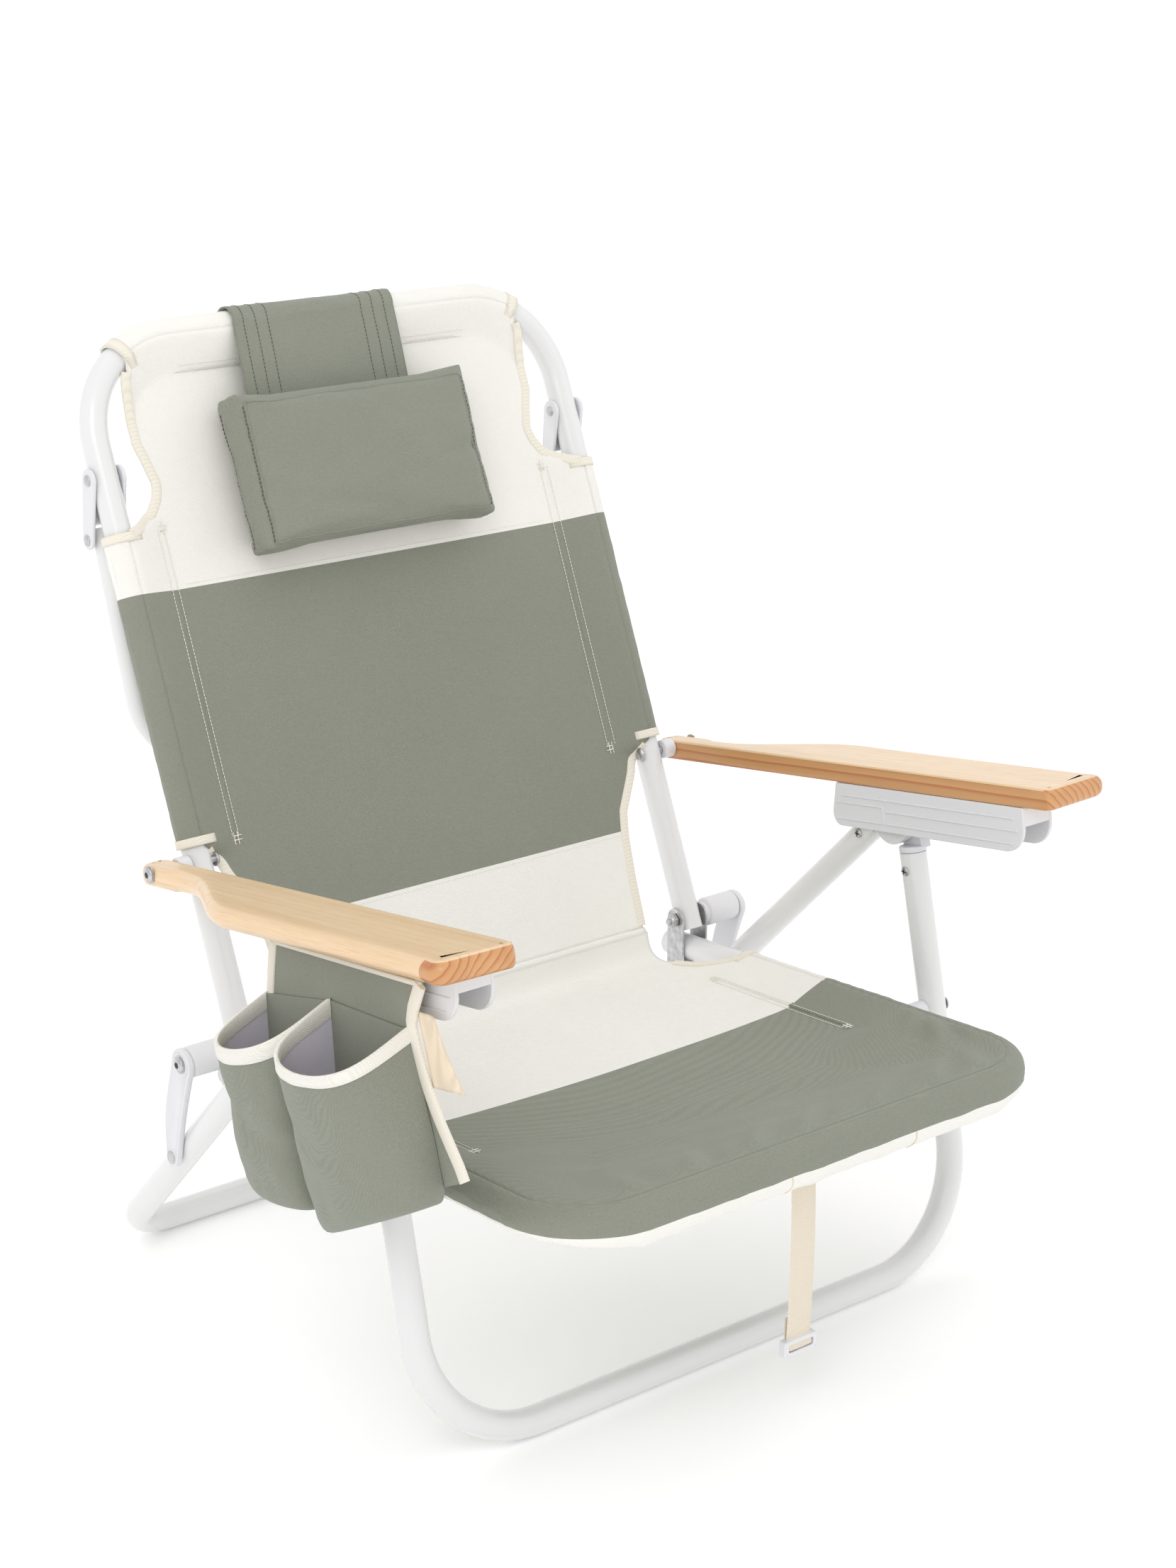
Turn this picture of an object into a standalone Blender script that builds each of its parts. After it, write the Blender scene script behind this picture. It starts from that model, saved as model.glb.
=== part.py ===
"""Folding beach chair with wooden armrests, steel tube frame, fabric back and seat,
headrest pillow, armrest organiser, towel bar and closing strap.

Metres, +Z up.  The chair faces -Y.  The side profile below is drawn in a (Y, Z)
plane whose Y zero is at the front edge of the seat; CHAIR_ORIGIN then moves the
whole chair so that the world origin is on the floor under the centre of its box.
"""
import math

import bmesh
import bpy
from mathutils import Matrix, Vector

# ----------------------------------------------------------------------------
# driving dimensions
# ----------------------------------------------------------------------------
TUBE_R = 0.0117            # main steel tube, outer radius
TUBE_WALL = 0.0012         # main steel tube wall
TOWEL_R = 0.0095           # towel bar tube, outer radius
SIDES = 12                 # facets round a tube

CHAIR_ORIGIN = (0.0223, -0.3527, 0.0)

HALF_BACK = 0.2385         # back, seat and towel tubes: centre to middle plane
HALF_LEG = 0.2800          # front and rear leg tubes

HINGE = (0.4565, 0.2260)   # (y, z) of the hinge bolts
SEAT_SLOPE = 0.08          # seat tube rises to the front
SEAT_REF = (0.150, 0.2216)
SEAT_FRONT_Y = 0.0170
SEAT_REAR_Y = 0.4780
SEAT_CORNER_R = 0.060

BACK_LEAN = math.radians(22.73)
BACK_LEN = 0.5932          # hinge to the middle of the top bar
BACK_TAIL = 0.0110         # tube end below the hinge bolt
BACK_CORNER_R = 0.085

FLOOR_BAR_Z = TUBE_R * math.cos(math.pi / SIDES)   # a facet lies on the floor
FRONT_FOOT = (0.1310, FLOOR_BAR_Z)
FRONT_TOP = (0.2099, 0.3517)
FRONT_CORNER_R = 0.0986
SEAT_PIVOT = (0.1790, 0.2193)

REAR_FOOT = (0.6017, FLOOR_BAR_Z)
REAR_TOP = (0.2546, 0.3657)
REAR_CORNER_R = 0.050

LEG_PIN = (0.2280, 0.3760)       # pin through the leg plugs, in the armrest racks
PLUG_DISC_R = 0.0205
PIN_R = 0.0040

LINK_REAR = (0.4785, 0.1345)     # rivet of the drop link on the rear leg
LINK_X0, LINK_X1 = 0.2924, 0.2980

ARM_PIVOT = (0.5115, 0.3715)
ARM_SLOPE = math.atan(0.164)
ARM_THICK = 0.0180
ARM_DROP = 0.0026          # the bolt passes this far above the middle of the wood
ARM_LEN = 0.4753
ARM_IN_X = 0.2625
ARM_NECK_X = 0.2865
ARM_OUT_X = 0.3310

RACK_IN = (0.2630, 0.2662)
RACK_OUT = (0.2938, 0.2970)
RACK_DEPTH = 0.0410
RACK_WEB = 0.0030

TOWEL_TOP_V, TOWEL_TOP_N = 0.4360, -0.0250
TOWEL_END_V, TOWEL_END_N = 0.2480, -0.0400
TOWEL_CORNER_R = 0.050
TOWEL_RIVET_V = 0.4810

FABRIC = 0.0024            # plain thickness of a fabric layer here
SLEEVE_IN = 0.0122
SLEEVE_OUT = 0.0142
GAP = 0.0003

PILLOW_X0, PILLOW_X1 = -0.1250, 0.1110
PILLOW_V0, PILLOW_V1 = 0.3920, 0.5250
PILLOW_N0, PILLOW_N1 = 0.0036, 0.0480
FLAP_X0, FLAP_X1 = -0.0920, 0.0720

ORGANISER_X = 0.3065        # inner face of the organiser panel

STRAP_X, STRAP_Y = 0.0030, 0.0375
STRAP_W, STRAP_T = 0.0250, 0.0014
STRAP_TOP_Z, STRAP_LOW_Z = 0.2286, 0.0610

# ----------------------------------------------------------------------------
# scene reset
# ----------------------------------------------------------------------------
for old in list(bpy.data.objects):
    bpy.data.objects.remove(old, do_unlink=True)

COL = bpy.context.scene.collection


def make_material(name, rgb, rough, metal=0.0):
    mat = bpy.data.materials.new(name)
    mat.use_nodes = True
    bsdf = mat.node_tree.nodes.get("Principled BSDF")
    bsdf.inputs["Base Color"].default_value = (rgb[0], rgb[1], rgb[2], 1.0)
    bsdf.inputs["Roughness"].default_value = rough
    bsdf.inputs["Metallic"].default_value = metal
    mat.diffuse_color = (rgb[0], rgb[1], rgb[2], 1.0)
    return mat


PAINT = make_material("white_paint", (0.84, 0.85, 0.86), 0.30)
PLASTIC = make_material("white_plastic", (0.82, 0.83, 0.85), 0.40)
ZINC = make_material("zinc_plate", (0.55, 0.56, 0.57), 0.35, 1.0)
WOOD = make_material("light_wood", (0.80, 0.58, 0.35), 0.45)
GREEN = make_material("green_fabric", (0.27, 0.29, 0.22), 0.85)
CREAM = make_material("white_fabric", (0.86, 0.84, 0.79), 0.85)
WEBBING = make_material("cream_webbing", (0.76, 0.66, 0.52), 0.80)


def add_empty(name, loc, parent=None):
    e = bpy.data.objects.new(name, None)
    e.location = loc
    e.empty_display_size = 0.03
    COL.objects.link(e)
    if parent is not None:
        e.parent = parent
    return e


ROOT = add_empty("chair_root", CHAIR_ORIGIN)


class Piece:
    """Vertices and faces of one closed mesh."""

    def __init__(self):
        self.v = []
        self.f = []

    def add(self, other):
        base = len(self.v)
        self.v += other.v
        self.f += [tuple(i + base for i in face) for face in other.f]
        return self


def to_object(name, piece, pivot=(0.0, 0.0, 0.0), mat=None, smooth=True, helper=False):
    """One object whose origin is the pivot, parented to the chair's root empty."""
    pv = Vector(pivot)
    me = bpy.data.meshes.new(name)
    me.from_pydata([tuple(Vector(p) - pv) for p in piece.v], [], piece.f)
    bm = bmesh.new()
    bm.from_mesh(me)
    bmesh.ops.remove_doubles(bm, verts=bm.verts, dist=1e-7)
    bmesh.ops.recalc_face_normals(bm, faces=bm.faces)
    bm.to_mesh(me)
    bm.free()
    ob = bpy.data.objects.new(name, me)
    ob.location = pv
    ob.parent = ROOT
    COL.objects.link(ob)
    if mat is not None:
        me.materials.append(mat)
    if smooth and not helper:
        me.shade_smooth()
        me.set_sharp_from_angle(angle=math.radians(40.0))
    if helper:
        ob.hide_render = True
        ob.display_type = "WIRE"
    return ob


def combine(target, piece, op, label):
    """Boolean the piece into the target, exactly."""
    tool = to_object("tool_" + label, piece, helper=True)
    mod = target.modifiers.new(label, "BOOLEAN")
    mod.operation = op
    mod.solver = "EXACT"
    mod.object = tool
    return tool


# ----------------------------------------------------------------------------
# shape builders, all in chair coordinates
# ----------------------------------------------------------------------------
def sweep(path, normal, radius, sides=SIDES, wall=0.0, turn=0.0):
    """A tube along a planar path; hollow and open at both ends if it has a wall."""
    pts = [Vector(p) for p in path]
    nrm = Vector(normal).normalized()
    rings = []
    for i, p in enumerate(pts):
        if i == 0:
            t = (pts[1] - pts[0]).normalized()
            k = 1.0
        elif i == len(pts) - 1:
            t = (pts[-1] - pts[-2]).normalized()
            k = 1.0
        else:
            a = (pts[i] - pts[i - 1]).normalized()
            b = (pts[i + 1] - pts[i]).normalized()
            t = (a + b).normalized()
            k = 1.0 / max(0.5, math.cos(a.angle(b) / 2.0)) if a.angle(b) > 1e-6 else 1.0
        side = nrm.cross(t).normalized()
        rings.append((p, side, k))
    radii = [radius] if wall <= 0 else [radius, radius - wall]
    out = Piece()
    starts = []
    for r in radii:
        starts.append(len(out.v))
        for p, side, k in rings:
            for j in range(sides):
                a = 2 * math.pi * (j + 0.5) / sides + turn
                out.v.append(tuple(p + side * (r * k * math.cos(a)) + nrm * (r * math.sin(a))))
    n = len(pts)

    def vid(layer, i, j):
        return starts[layer] + i * sides + (j % sides)

    for i in range(n - 1):
        for j in range(sides):
            out.f.append((vid(0, i, j), vid(0, i, j + 1), vid(0, i + 1, j + 1), vid(0, i + 1, j)))
    if wall > 0:
        for i in range(n - 1):
            for j in range(sides):
                out.f.append((vid(1, i, j), vid(1, i + 1, j), vid(1, i + 1, j + 1), vid(1, i, j + 1)))
        for i in (0, n - 1):
            for j in range(sides):
                q = (vid(0, i, j), vid(1, i, j), vid(1, i, j + 1), vid(0, i, j + 1))
                out.f.append(q if i == 0 else q[::-1])
    else:
        out.f.append(tuple(vid(0, 0, j) for j in range(sides))[::-1])
        out.f.append(tuple(vid(0, n - 1, j) for j in range(sides)))
    return out


def u_path(half, end_yz, bar_yz, corner, steps=7):
    """U in the plane through X: left end, down to the cross bar, up to the right end."""
    e = Vector((0.0, end_yz[0], end_yz[1]))
    b = Vector((0.0, bar_yz[0], bar_yz[1]))
    up = (e - b)
    length = up.length
    up.normalize()
    pts = [(-half, length)]
    for k in range(steps + 1):
        a = 0.5 * math.pi * k / steps
        pts.append((-half + corner - corner * math.cos(a), corner - corner * math.sin(a)))
    for k in range(steps + 1):
        a = 0.5 * math.pi * k / steps
        pts.append((half - corner + corner * math.sin(a), corner - corner * math.cos(a)))
    pts.append((half, length))
    return [Vector((x, 0.0, 0.0)) + b + up * s for x, s in pts], Vector((1.0, 0.0, 0.0)).cross(up)


def cyl_x(centre, r, x0, x1, sides=SIDES, turn=0.0):
    """A solid cylinder along X between x0 and x1."""
    y, z = centre
    lo, hi = min(x0, x1), max(x0, x1)
    out = Piece()
    for x in (lo, hi):
        for j in range(sides):
            a = 2 * math.pi * (j + 0.5) / sides + turn
            out.v.append((x, y + r * math.cos(a), z + r * math.sin(a)))
    for j in range(sides):
        k = (j + 1) % sides
        out.f.append((j, k, sides + k, sides + j))
    out.f.append(tuple(range(sides))[::-1])
    out.f.append(tuple(range(sides, 2 * sides)))
    return out


def turned_x(centre, profile, sides=SIDES):
    """A solid turned about an X axis: profile is [(x, r), ...] from end to end."""
    y, z = centre
    out = Piece()
    for x, r in profile:
        for j in range(sides):
            a = 2 * math.pi * (j + 0.5) / sides
            out.v.append((x, y + r * math.cos(a), z + r * math.sin(a)))
    n = len(profile)
    for i in range(n - 1):
        for j in range(sides):
            k = (j + 1) % sides
            out.f.append((i * sides + j, i * sides + k, (i + 1) * sides + k, (i + 1) * sides + j))
    out.f.append(tuple(range(sides)))
    out.f.append(tuple(range((n - 1) * sides, n * sides)))
    return out


def ring_x(centre, r_out, r_in, x0, x1, sides=SIDES):
    """A washer or spacer about an X axis."""
    y, z = centre
    out = Piece()
    for r in (r_out, r_in):
        for x in (x0, x1):
            for j in range(sides):
                a = 2 * math.pi * (j + 0.5) / sides
                out.v.append((x, y + r * math.cos(a), z + r * math.sin(a)))
    s = sides
    for j in range(s):
        k = (j + 1) % s
        out.f.append((j, k, s + k, s + j))
        out.f.append((2 * s + j, 3 * s + j, 3 * s + k, 2 * s + k))
        out.f.append((j, 2 * s + j, 2 * s + k, k))
        out.f.append((s + j, s + k, 3 * s + k, 3 * s + j))
    return out


def plate_x(outline, x0, x1):
    """A flat plate: an outline of (y, z) points extruded along X."""
    out = Piece()
    n = len(outline)
    for x in (x0, x1):
        for y, z in outline:
            out.v.append((x, y, z))
    for j in range(n):
        k = (j + 1) % n
        out.f.append((j, k, n + k, n + j))
    out.f.append(tuple(range(n)))
    out.f.append(tuple(range(n, 2 * n)))
    return out


def slab(outline, origin, e1, e2, e3, t0, t1):
    """An outline of (a, b) points in the plane e1, e2, extruded from t0 to t1 along e3."""
    o, u, v, w = Vector(origin), Vector(e1), Vector(e2), Vector(e3)
    out = Piece()
    n = len(outline)
    for t in (t0, t1):
        for a, b in outline:
            out.v.append(tuple(o + u * a + v * b + w * t))
    for j in range(n):
        k = (j + 1) % n
        out.f.append((j, k, n + k, n + j))
    out.f.append(tuple(range(n)))
    out.f.append(tuple(range(n, 2 * n)))
    return out


def box(lo, hi):
    return slab([(lo[0], lo[1]), (hi[0], lo[1]), (hi[0], hi[1]), (lo[0], hi[1])],
                (0, 0, 0), (1, 0, 0), (0, 1, 0), (0, 0, 1), lo[2], hi[2])


def arc(cx, cy, r, a0, a1, steps):
    return [(cx + r * math.cos(math.radians(a0 + (a1 - a0) * k / steps)),
             cy + r * math.sin(math.radians(a0 + (a1 - a0) * k / steps))) for k in range(steps + 1)]


def rotate_yz(p, centre, angle):
    c, s = math.cos(angle), math.sin(angle)
    y, z = p[0] - centre[0], p[1] - centre[1]
    return (centre[0] + c * y - s * z, centre[1] + s * y + c * z)


def floor_turn(nrm):
    """Turn of the facets that puts one of them flat on the floor along a U's cross bar."""
    side = nrm.cross(Vector((1.0, 0.0, 0.0)))
    return math.atan2(-nrm.z, -side.z) % (2 * math.pi / SIDES)


def seat_z(y):
    return SEAT_REF[1] + SEAT_SLOPE * (SEAT_REF[0] - y)


def on_pivot(p, x=0.0):
    return (x, p[0], p[1])


BACK_U = (math.sin(BACK_LEAN), math.cos(BACK_LEAN))          # up the back, in (y, z)
BACK_N = (-math.cos(BACK_LEAN), math.sin(BACK_LEAN))         # out of its front face


def back_point(v, n=0.0):
    return (HINGE[0] + BACK_U[0] * v + BACK_N[0] * n, HINGE[1] + BACK_U[1] * v + BACK_N[1] * n)


SIDE = {"left": -1.0, "right": 1.0}

# ----------------------------------------------------------------------------
# joint axes as empties
# ----------------------------------------------------------------------------
add_empty("axis_hinge", on_pivot(HINGE), ROOT)
add_empty("axis_seat_pivot", on_pivot(SEAT_PIVOT), ROOT)
add_empty("axis_leg_pin", on_pivot(LEG_PIN), ROOT)
add_empty("axis_arm_pivot", on_pivot(ARM_PIVOT), ROOT)

# ----------------------------------------------------------------------------
# seat frame
# ----------------------------------------------------------------------------
seat_path, seat_nrm = u_path(HALF_BACK, (SEAT_REAR_Y, seat_z(SEAT_REAR_Y)),
                             (SEAT_FRONT_Y, seat_z(SEAT_FRONT_Y)), SEAT_CORNER_R)
seat_frame = to_object("seat_frame", sweep(seat_path, seat_nrm, TUBE_R, wall=TUBE_WALL),
                       on_pivot(SEAT_PIVOT), PAINT)
seat_dir = Vector((0.0, 1.0, -SEAT_SLOPE)).normalized()      # towards the rear
for s, sx in SIDE.items():
    combine(seat_frame, cyl_x(SEAT_PIVOT, 0.0037, sx * (HALF_BACK - 0.02), sx * (HALF_BACK + 0.02), 8),
            "DIFFERENCE", "seat_bolt_hole_" + s)

for s, sx in SIDE.items():
    end = Vector((sx * HALF_BACK, SEAT_REAR_Y, seat_z(SEAT_REAR_Y)))
    cap = sweep([end + seat_dir * GAP, end + seat_dir * 0.0030], seat_nrm, TUBE_R, 12)
    cap_ob = to_object("seat_end_cap_" + s, cap, tuple(end), PLASTIC)
    plug = sweep([end - seat_dir * 0.0120, end + seat_dir * 0.0020], seat_nrm, TUBE_R - TUBE_WALL - GAP * 1.6, 12)
    combine(cap_ob, plug, "UNION", "seat_cap_shank_" + s)

# ----------------------------------------------------------------------------
# hinge brackets: sheet metal U over the seat tube end, ears up to the hinge bolt
# ----------------------------------------------------------------------------
BR_IN, BR_T, BR_W = 0.0128, 0.0018, 0.0110
for s, sx in SIDE.items():
    zb = seat_z(HINGE[0]) - 0.0140
    outline = [(HINGE[0] - BR_W, zb)] + [(HINGE[0] + BR_W, zb)] + \
        arc(HINGE[0], HINGE[1], BR_W, 0, 180, 8)
    c = sx * HALF_BACK
    bracket = plate_x(outline, c - BR_IN - BR_T, c - BR_IN)
    br = to_object("hinge_bracket_" + s, bracket, on_pivot(HINGE, c), ZINC)
    combine(br, plate_x(outline, c + BR_IN, c + BR_IN + BR_T), "UNION", "bracket_ear_" + s)
    combine(br, box((c - BR_IN - BR_T, HINGE[0] - BR_W, zb - BR_T), (c + BR_IN + BR_T, HINGE[0] + BR_W, zb + 0.0002)),
            "UNION", "bracket_base_" + s)
    combine(br, cyl_x(HINGE, 0.0035, c - 0.03, c + 0.03, 10), "DIFFERENCE", "bracket_hole_" + s)

# ----------------------------------------------------------------------------
# hinge bolts with nuts and hub spacers
# ----------------------------------------------------------------------------
HUB_X0 = HALF_BACK + BR_IN + BR_T + GAP
for s, sx in SIDE.items():
    inner = HALF_BACK - BR_IN - BR_T
    bolt = turned_x(HINGE, [(sx * (inner - 0.0095), 0.0030), (sx * (LINK_X1 + GAP), 0.0030),
                            (sx * (LINK_X1 + GAP), 0.0068), (sx * (LINK_X1 + 0.0022), 0.0066),
                            (sx * (LINK_X1 + 0.0038), 0.0042)], 10)
    to_object("hinge_bolt_" + s, bolt, on_pivot(HINGE, sx * HALF_LEG), ZINC)
    nut = ring_x(HINGE, 0.0068, 0.0038, sx * (inner - 0.0062), sx * (inner - GAP), 6)
    to_object("hinge_nut_" + s, nut, on_pivot(HINGE, sx * inner), ZINC)
    hub = turned_x(HINGE, [(sx * HUB_X0, 0.0100), (sx * (HUB_X0 + 0.0045), 0.0100),
                           (sx * (HUB_X0 + 0.0065), 0.0130), (sx * (LINK_X0 - 0.0030), 0.0130),
                           (sx * (LINK_X0 - GAP), 0.0120)], 14)
    hub_ob = to_object("hub_spacer_" + s, hub, on_pivot(HINGE, sx * HUB_X0), PLASTIC)
    combine(hub_ob, cyl_x(HINGE, 0.0035, sx * 0.25, sx * 0.30, 10), "DIFFERENCE", "hub_bore_" + s)

# ----------------------------------------------------------------------------
# drop links from the hinge bolts to the rear leg
# ----------------------------------------------------------------------------
ld = Vector((LINK_REAR[0] - HINGE[0], LINK_REAR[1] - HINGE[1]))
llen = ld.length
ldir = ld.normalized()
lnrm = Vector((-ldir.y, ldir.x))                              # towards the front of the link


def link_pt(a, b):
    p = Vector(HINGE) + ldir * a + lnrm * b
    return (p.x, p.y)


def link_outline():
    pts = []
    for k in range(9):                                        # round the top lobe
        a = math.radians(90 + 180 * k / 8)
        pts.append(link_pt(0.0125 * math.cos(a), 0.0140 * math.sin(a)))
    for k in range(1, 6):                                     # rear edge, hollowed
        t = k / 6
        pts.append(link_pt(llen * t, -0.0140 + 0.0020 * math.sin(math.pi * t) + 0.0055 * t))
    for k in range(9):                                        # round the lower lobe
        a = math.radians(-90 + 180 * k / 8)
        pts.append(link_pt(llen + 0.0090 * math.cos(a), 0.0085 * math.sin(a)))
    for k in range(1, 6):                                     # front edge with its waist
        t = 1 - k / 6
        pts.append(link_pt(llen * t, 0.0085 + 0.0075 * math.sin(math.pi * min(1.0, (1 - t) * 1.05)) * (0.4 + 0.6 * t)
                           + 0.0055 * (1 - t)))
    return pts


for s, sx in SIDE.items():
    link = to_object("drop_link_" + s, plate_x(link_outline(), sx * LINK_X0, sx * LINK_X1),
                     on_pivot(HINGE, sx * LINK_X0), PLASTIC)
    combine(link, cyl_x(HINGE, 0.0035, sx * 0.28, sx * 0.31, 10), "DIFFERENCE", "link_bolt_hole_" + s)
    combine(link, cyl_x(LINK_REAR, 0.0032, sx * 0.28, sx * 0.31, 10), "DIFFERENCE", "link_rivet_hole_" + s)
    rivet = turned_x(LINK_REAR, [(sx * (LINK_X0 + 0.0004), 0.0028), (sx * (LINK_X1 + GAP), 0.0028),
                                 (sx * (LINK_X1 + GAP), 0.0056), (sx * (LINK_X1 + 0.0014), 0.0050),
                                 (sx * (LINK_X1 + 0.0020), 0.0030)], 10)
    to_object("link_rivet_" + s, rivet, on_pivot(LINK_REAR, sx * LINK_X1), ZINC)

# ----------------------------------------------------------------------------
# front leg
# ----------------------------------------------------------------------------
front_path, front_nrm = u_path(HALF_LEG, FRONT_TOP, FRONT_FOOT, FRONT_CORNER_R, 9)
front_turn = floor_turn(front_nrm)
front_leg = to_object("front_leg", sweep(front_path, front_nrm, TUBE_R, wall=TUBE_WALL, turn=front_turn), on_pivot(SEAT_PIVOT), PAINT)
fdir = (Vector(FRONT_TOP) - Vector(FRONT_FOOT)).normalized()
FRONT_SCREW = tuple(Vector(FRONT_TOP) - fdir * 0.0150)
for s, sx in SIDE.items():
    combine(front_leg, cyl_x(SEAT_PIVOT, 0.0037, sx * (HALF_LEG - 0.02), sx * (HALF_LEG + 0.02), 8),
            "DIFFERENCE", "leg_bolt_hole_" + s)
    combine(front_leg, cyl_x(FRONT_SCREW, 0.0026, sx * (HALF_LEG - 0.02), sx * HALF_LEG, 8),
            "DIFFERENCE", "front_screw_hole_" + s)

# seat pivot bolts and spacers
for s, sx in SIDE.items():
    a, b = HALF_BACK - TUBE_R - 0.0006, HALF_LEG + TUBE_R + 0.0006
    bolt = turned_x(SEAT_PIVOT, [(sx * (a - 0.0026), 0.0052), (sx * a, 0.0058), (sx * a, 0.0031),
                                 (sx * b, 0.0031), (sx * b, 0.0062), (sx * (b + 0.0018), 0.0058),
                                 (sx * (b + 0.0030), 0.0036)], 10)
    to_object("seat_pivot_bolt_" + s, bolt, on_pivot(SEAT_PIVOT, sx * b), ZINC)
    sp = ring_x(SEAT_PIVOT, 0.0085, 0.0036, sx * (HALF_BACK + TUBE_R + 0.0004), sx * (HALF_LEG - TUBE_R - 0.0004), 12)
    to_object("seat_pivot_spacer_" + s, sp, on_pivot(SEAT_PIVOT, sx * 0.259), PLASTIC)

# ----------------------------------------------------------------------------
# rear leg
# ----------------------------------------------------------------------------
rear_path, rear_nrm = u_path(HALF_LEG, REAR_TOP, REAR_FOOT, REAR_CORNER_R, 8)
rear_turn = floor_turn(rear_nrm)
rear_leg = to_object("rear_leg", sweep(rear_path, rear_nrm, TUBE_R, wall=TUBE_WALL, turn=rear_turn), on_pivot(LEG_PIN), PAINT)
rdir = (Vector(REAR_TOP) - Vector(REAR_FOOT)).normalized()
REAR_SCREW = tuple(Vector(REAR_TOP) - rdir * 0.0150)
for s, sx in SIDE.items():
    combine(rear_leg, cyl_x(REAR_SCREW, 0.0026, sx * (HALF_LEG - 0.02), sx * HALF_LEG, 8),
            "DIFFERENCE", "rear_screw_hole_" + s)

# ----------------------------------------------------------------------------
# plugs in the leg ends: each has a half-thickness disc round the leg pin
# ----------------------------------------------------------------------------
DISC_SPLIT = HALF_LEG


def disc_tongue(top, direction, x0, x1):
    """Outline from the tube end round the pin disc, in (y, z)."""
    d = Vector(direction)
    n = Vector((-d.y, d.x))
    pin = Vector(LEG_PIN)
    t = Vector(top)
    off = (pin - t).dot(n)
    sgn = 1.0 if off > 0 else -1.0
    start = t + d * 0.0012
    inner = start + n * sgn * (TUBE_R - 0.0004)
    pts = [start - n * sgn * (TUBE_R - 0.0004), inner]
    # the neck runs straight up to the disc, so the two legs can lie side by side when folded
    lat = (inner - pin).dot(n * sgn)
    low = -math.sqrt(PLUG_DISC_R ** 2 - lat ** 2)
    pts.append(pin + n * sgn * lat + d * low)
    base = math.atan2(n.y * sgn, n.x * sgn)
    for k in range(1, 17):
        a = base + (-1.0 if sgn > 0 else 1.0) * math.radians(-88 + 254 * k / 16)
        pts.append(pin + Vector((math.cos(a), math.sin(a))) * PLUG_DISC_R)
    return [(p.x, p.y) for p in pts]


def plug(name, top, direction, x_near, x_far, screw, sx, turn):
    d = Vector(direction)
    d3 = Vector((0.0, d.x, d.y))
    t3 = Vector((sx * HALF_LEG, top[0], top[1]))
    nrm = Vector((1.0, 0.0, 0.0)).cross(d3)
    ob = to_object(name, plate_x(disc_tongue(top, direction, 0, 0), x_near, x_far), on_pivot(LEG_PIN, sx * HALF_LEG), PLASTIC)
    collar = sweep([t3 + d3 * GAP, t3 + d3 * 0.0050], nrm, TUBE_R - 0.0002, SIDES, turn=turn * sx)
    combine(ob, collar, "UNION", name + "_collar")
    shank = sweep([t3 - d3 * 0.0260, t3 + d3 * 0.0030], nrm, TUBE_R - TUBE_WALL - GAP * 1.6, SIDES, turn=turn * sx)
    combine(ob, shank, "UNION", name + "_shank")
    combine(ob, cyl_x(screw, 0.0024, sx * (HALF_LEG - 0.02), sx * (HALF_LEG + 0.0045), 8), "DIFFERENCE", name + "_screw_hole")
    combine(ob, cyl_x(LEG_PIN, PIN_R + 0.0003, sx * 0.26, sx * 0.30, 10), "DIFFERENCE", name + "_pin_hole")
    return ob


for s, sx in SIDE.items():
    plug("front_plug_" + s, FRONT_TOP, fdir, sx * (DISC_SPLIT + 0.0002), sx * (HALF_LEG + TUBE_R - 0.0006), FRONT_SCREW, sx, front_turn)
    plug("rear_plug_" + s, REAR_TOP, rdir, sx * (DISC_SPLIT - 0.0002), sx * (HALF_LEG - TUBE_R + 0.0006), REAR_SCREW, sx, rear_turn)
    pin = cyl_x(LEG_PIN, PIN_R, sx * (RACK_IN[1] + 0.0004), sx * (RACK_OUT[0] - 0.0004), 12)
    to_object("leg_pin_" + s, pin, on_pivot(LEG_PIN, sx * HALF_LEG), ZINC)
    for nm, c in (("front", FRONT_SCREW), ("rear", REAR_SCREW)):
        xo = HALF_LEG - TUBE_R - 0.0005
        head = turned_x(c, [(sx * (xo - 0.0012), 0.0026), (sx * (xo - 0.0006), 0.0042), (sx * xo, 0.0044),
                            (sx * xo, 0.0020), (sx * (xo + 0.0130), 0.0020)], 10)
        to_object(nm + "_plug_screw_" + s, head, on_pivot(c, sx * xo), ZINC)

# ----------------------------------------------------------------------------
# back frame
# ----------------------------------------------------------------------------
back_path, back_nrm = u_path(HALF_BACK, back_point(-BACK_TAIL), back_point(BACK_LEN), BACK_CORNER_R, 9)
back_frame = to_object("back_frame", sweep(back_path, back_nrm, TUBE_R, wall=TUBE_WALL), on_pivot(HINGE), PAINT)
TOWEL_UPPER = back_point(TOWEL_RIVET_V)
for s, sx in SIDE.items():
    for nm, c, r in (("hinge", HINGE, 0.0035), ("arm", ARM_PIVOT, 0.0035), ("towel", TOWEL_UPPER, 0.0028)):
        combine(back_frame, cyl_x(c, r, sx * (HALF_BACK - 0.02), sx * (HALF_BACK + 0.02), 8),
                "DIFFERENCE", "back_%s_hole_%s" % (nm, s))

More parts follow.
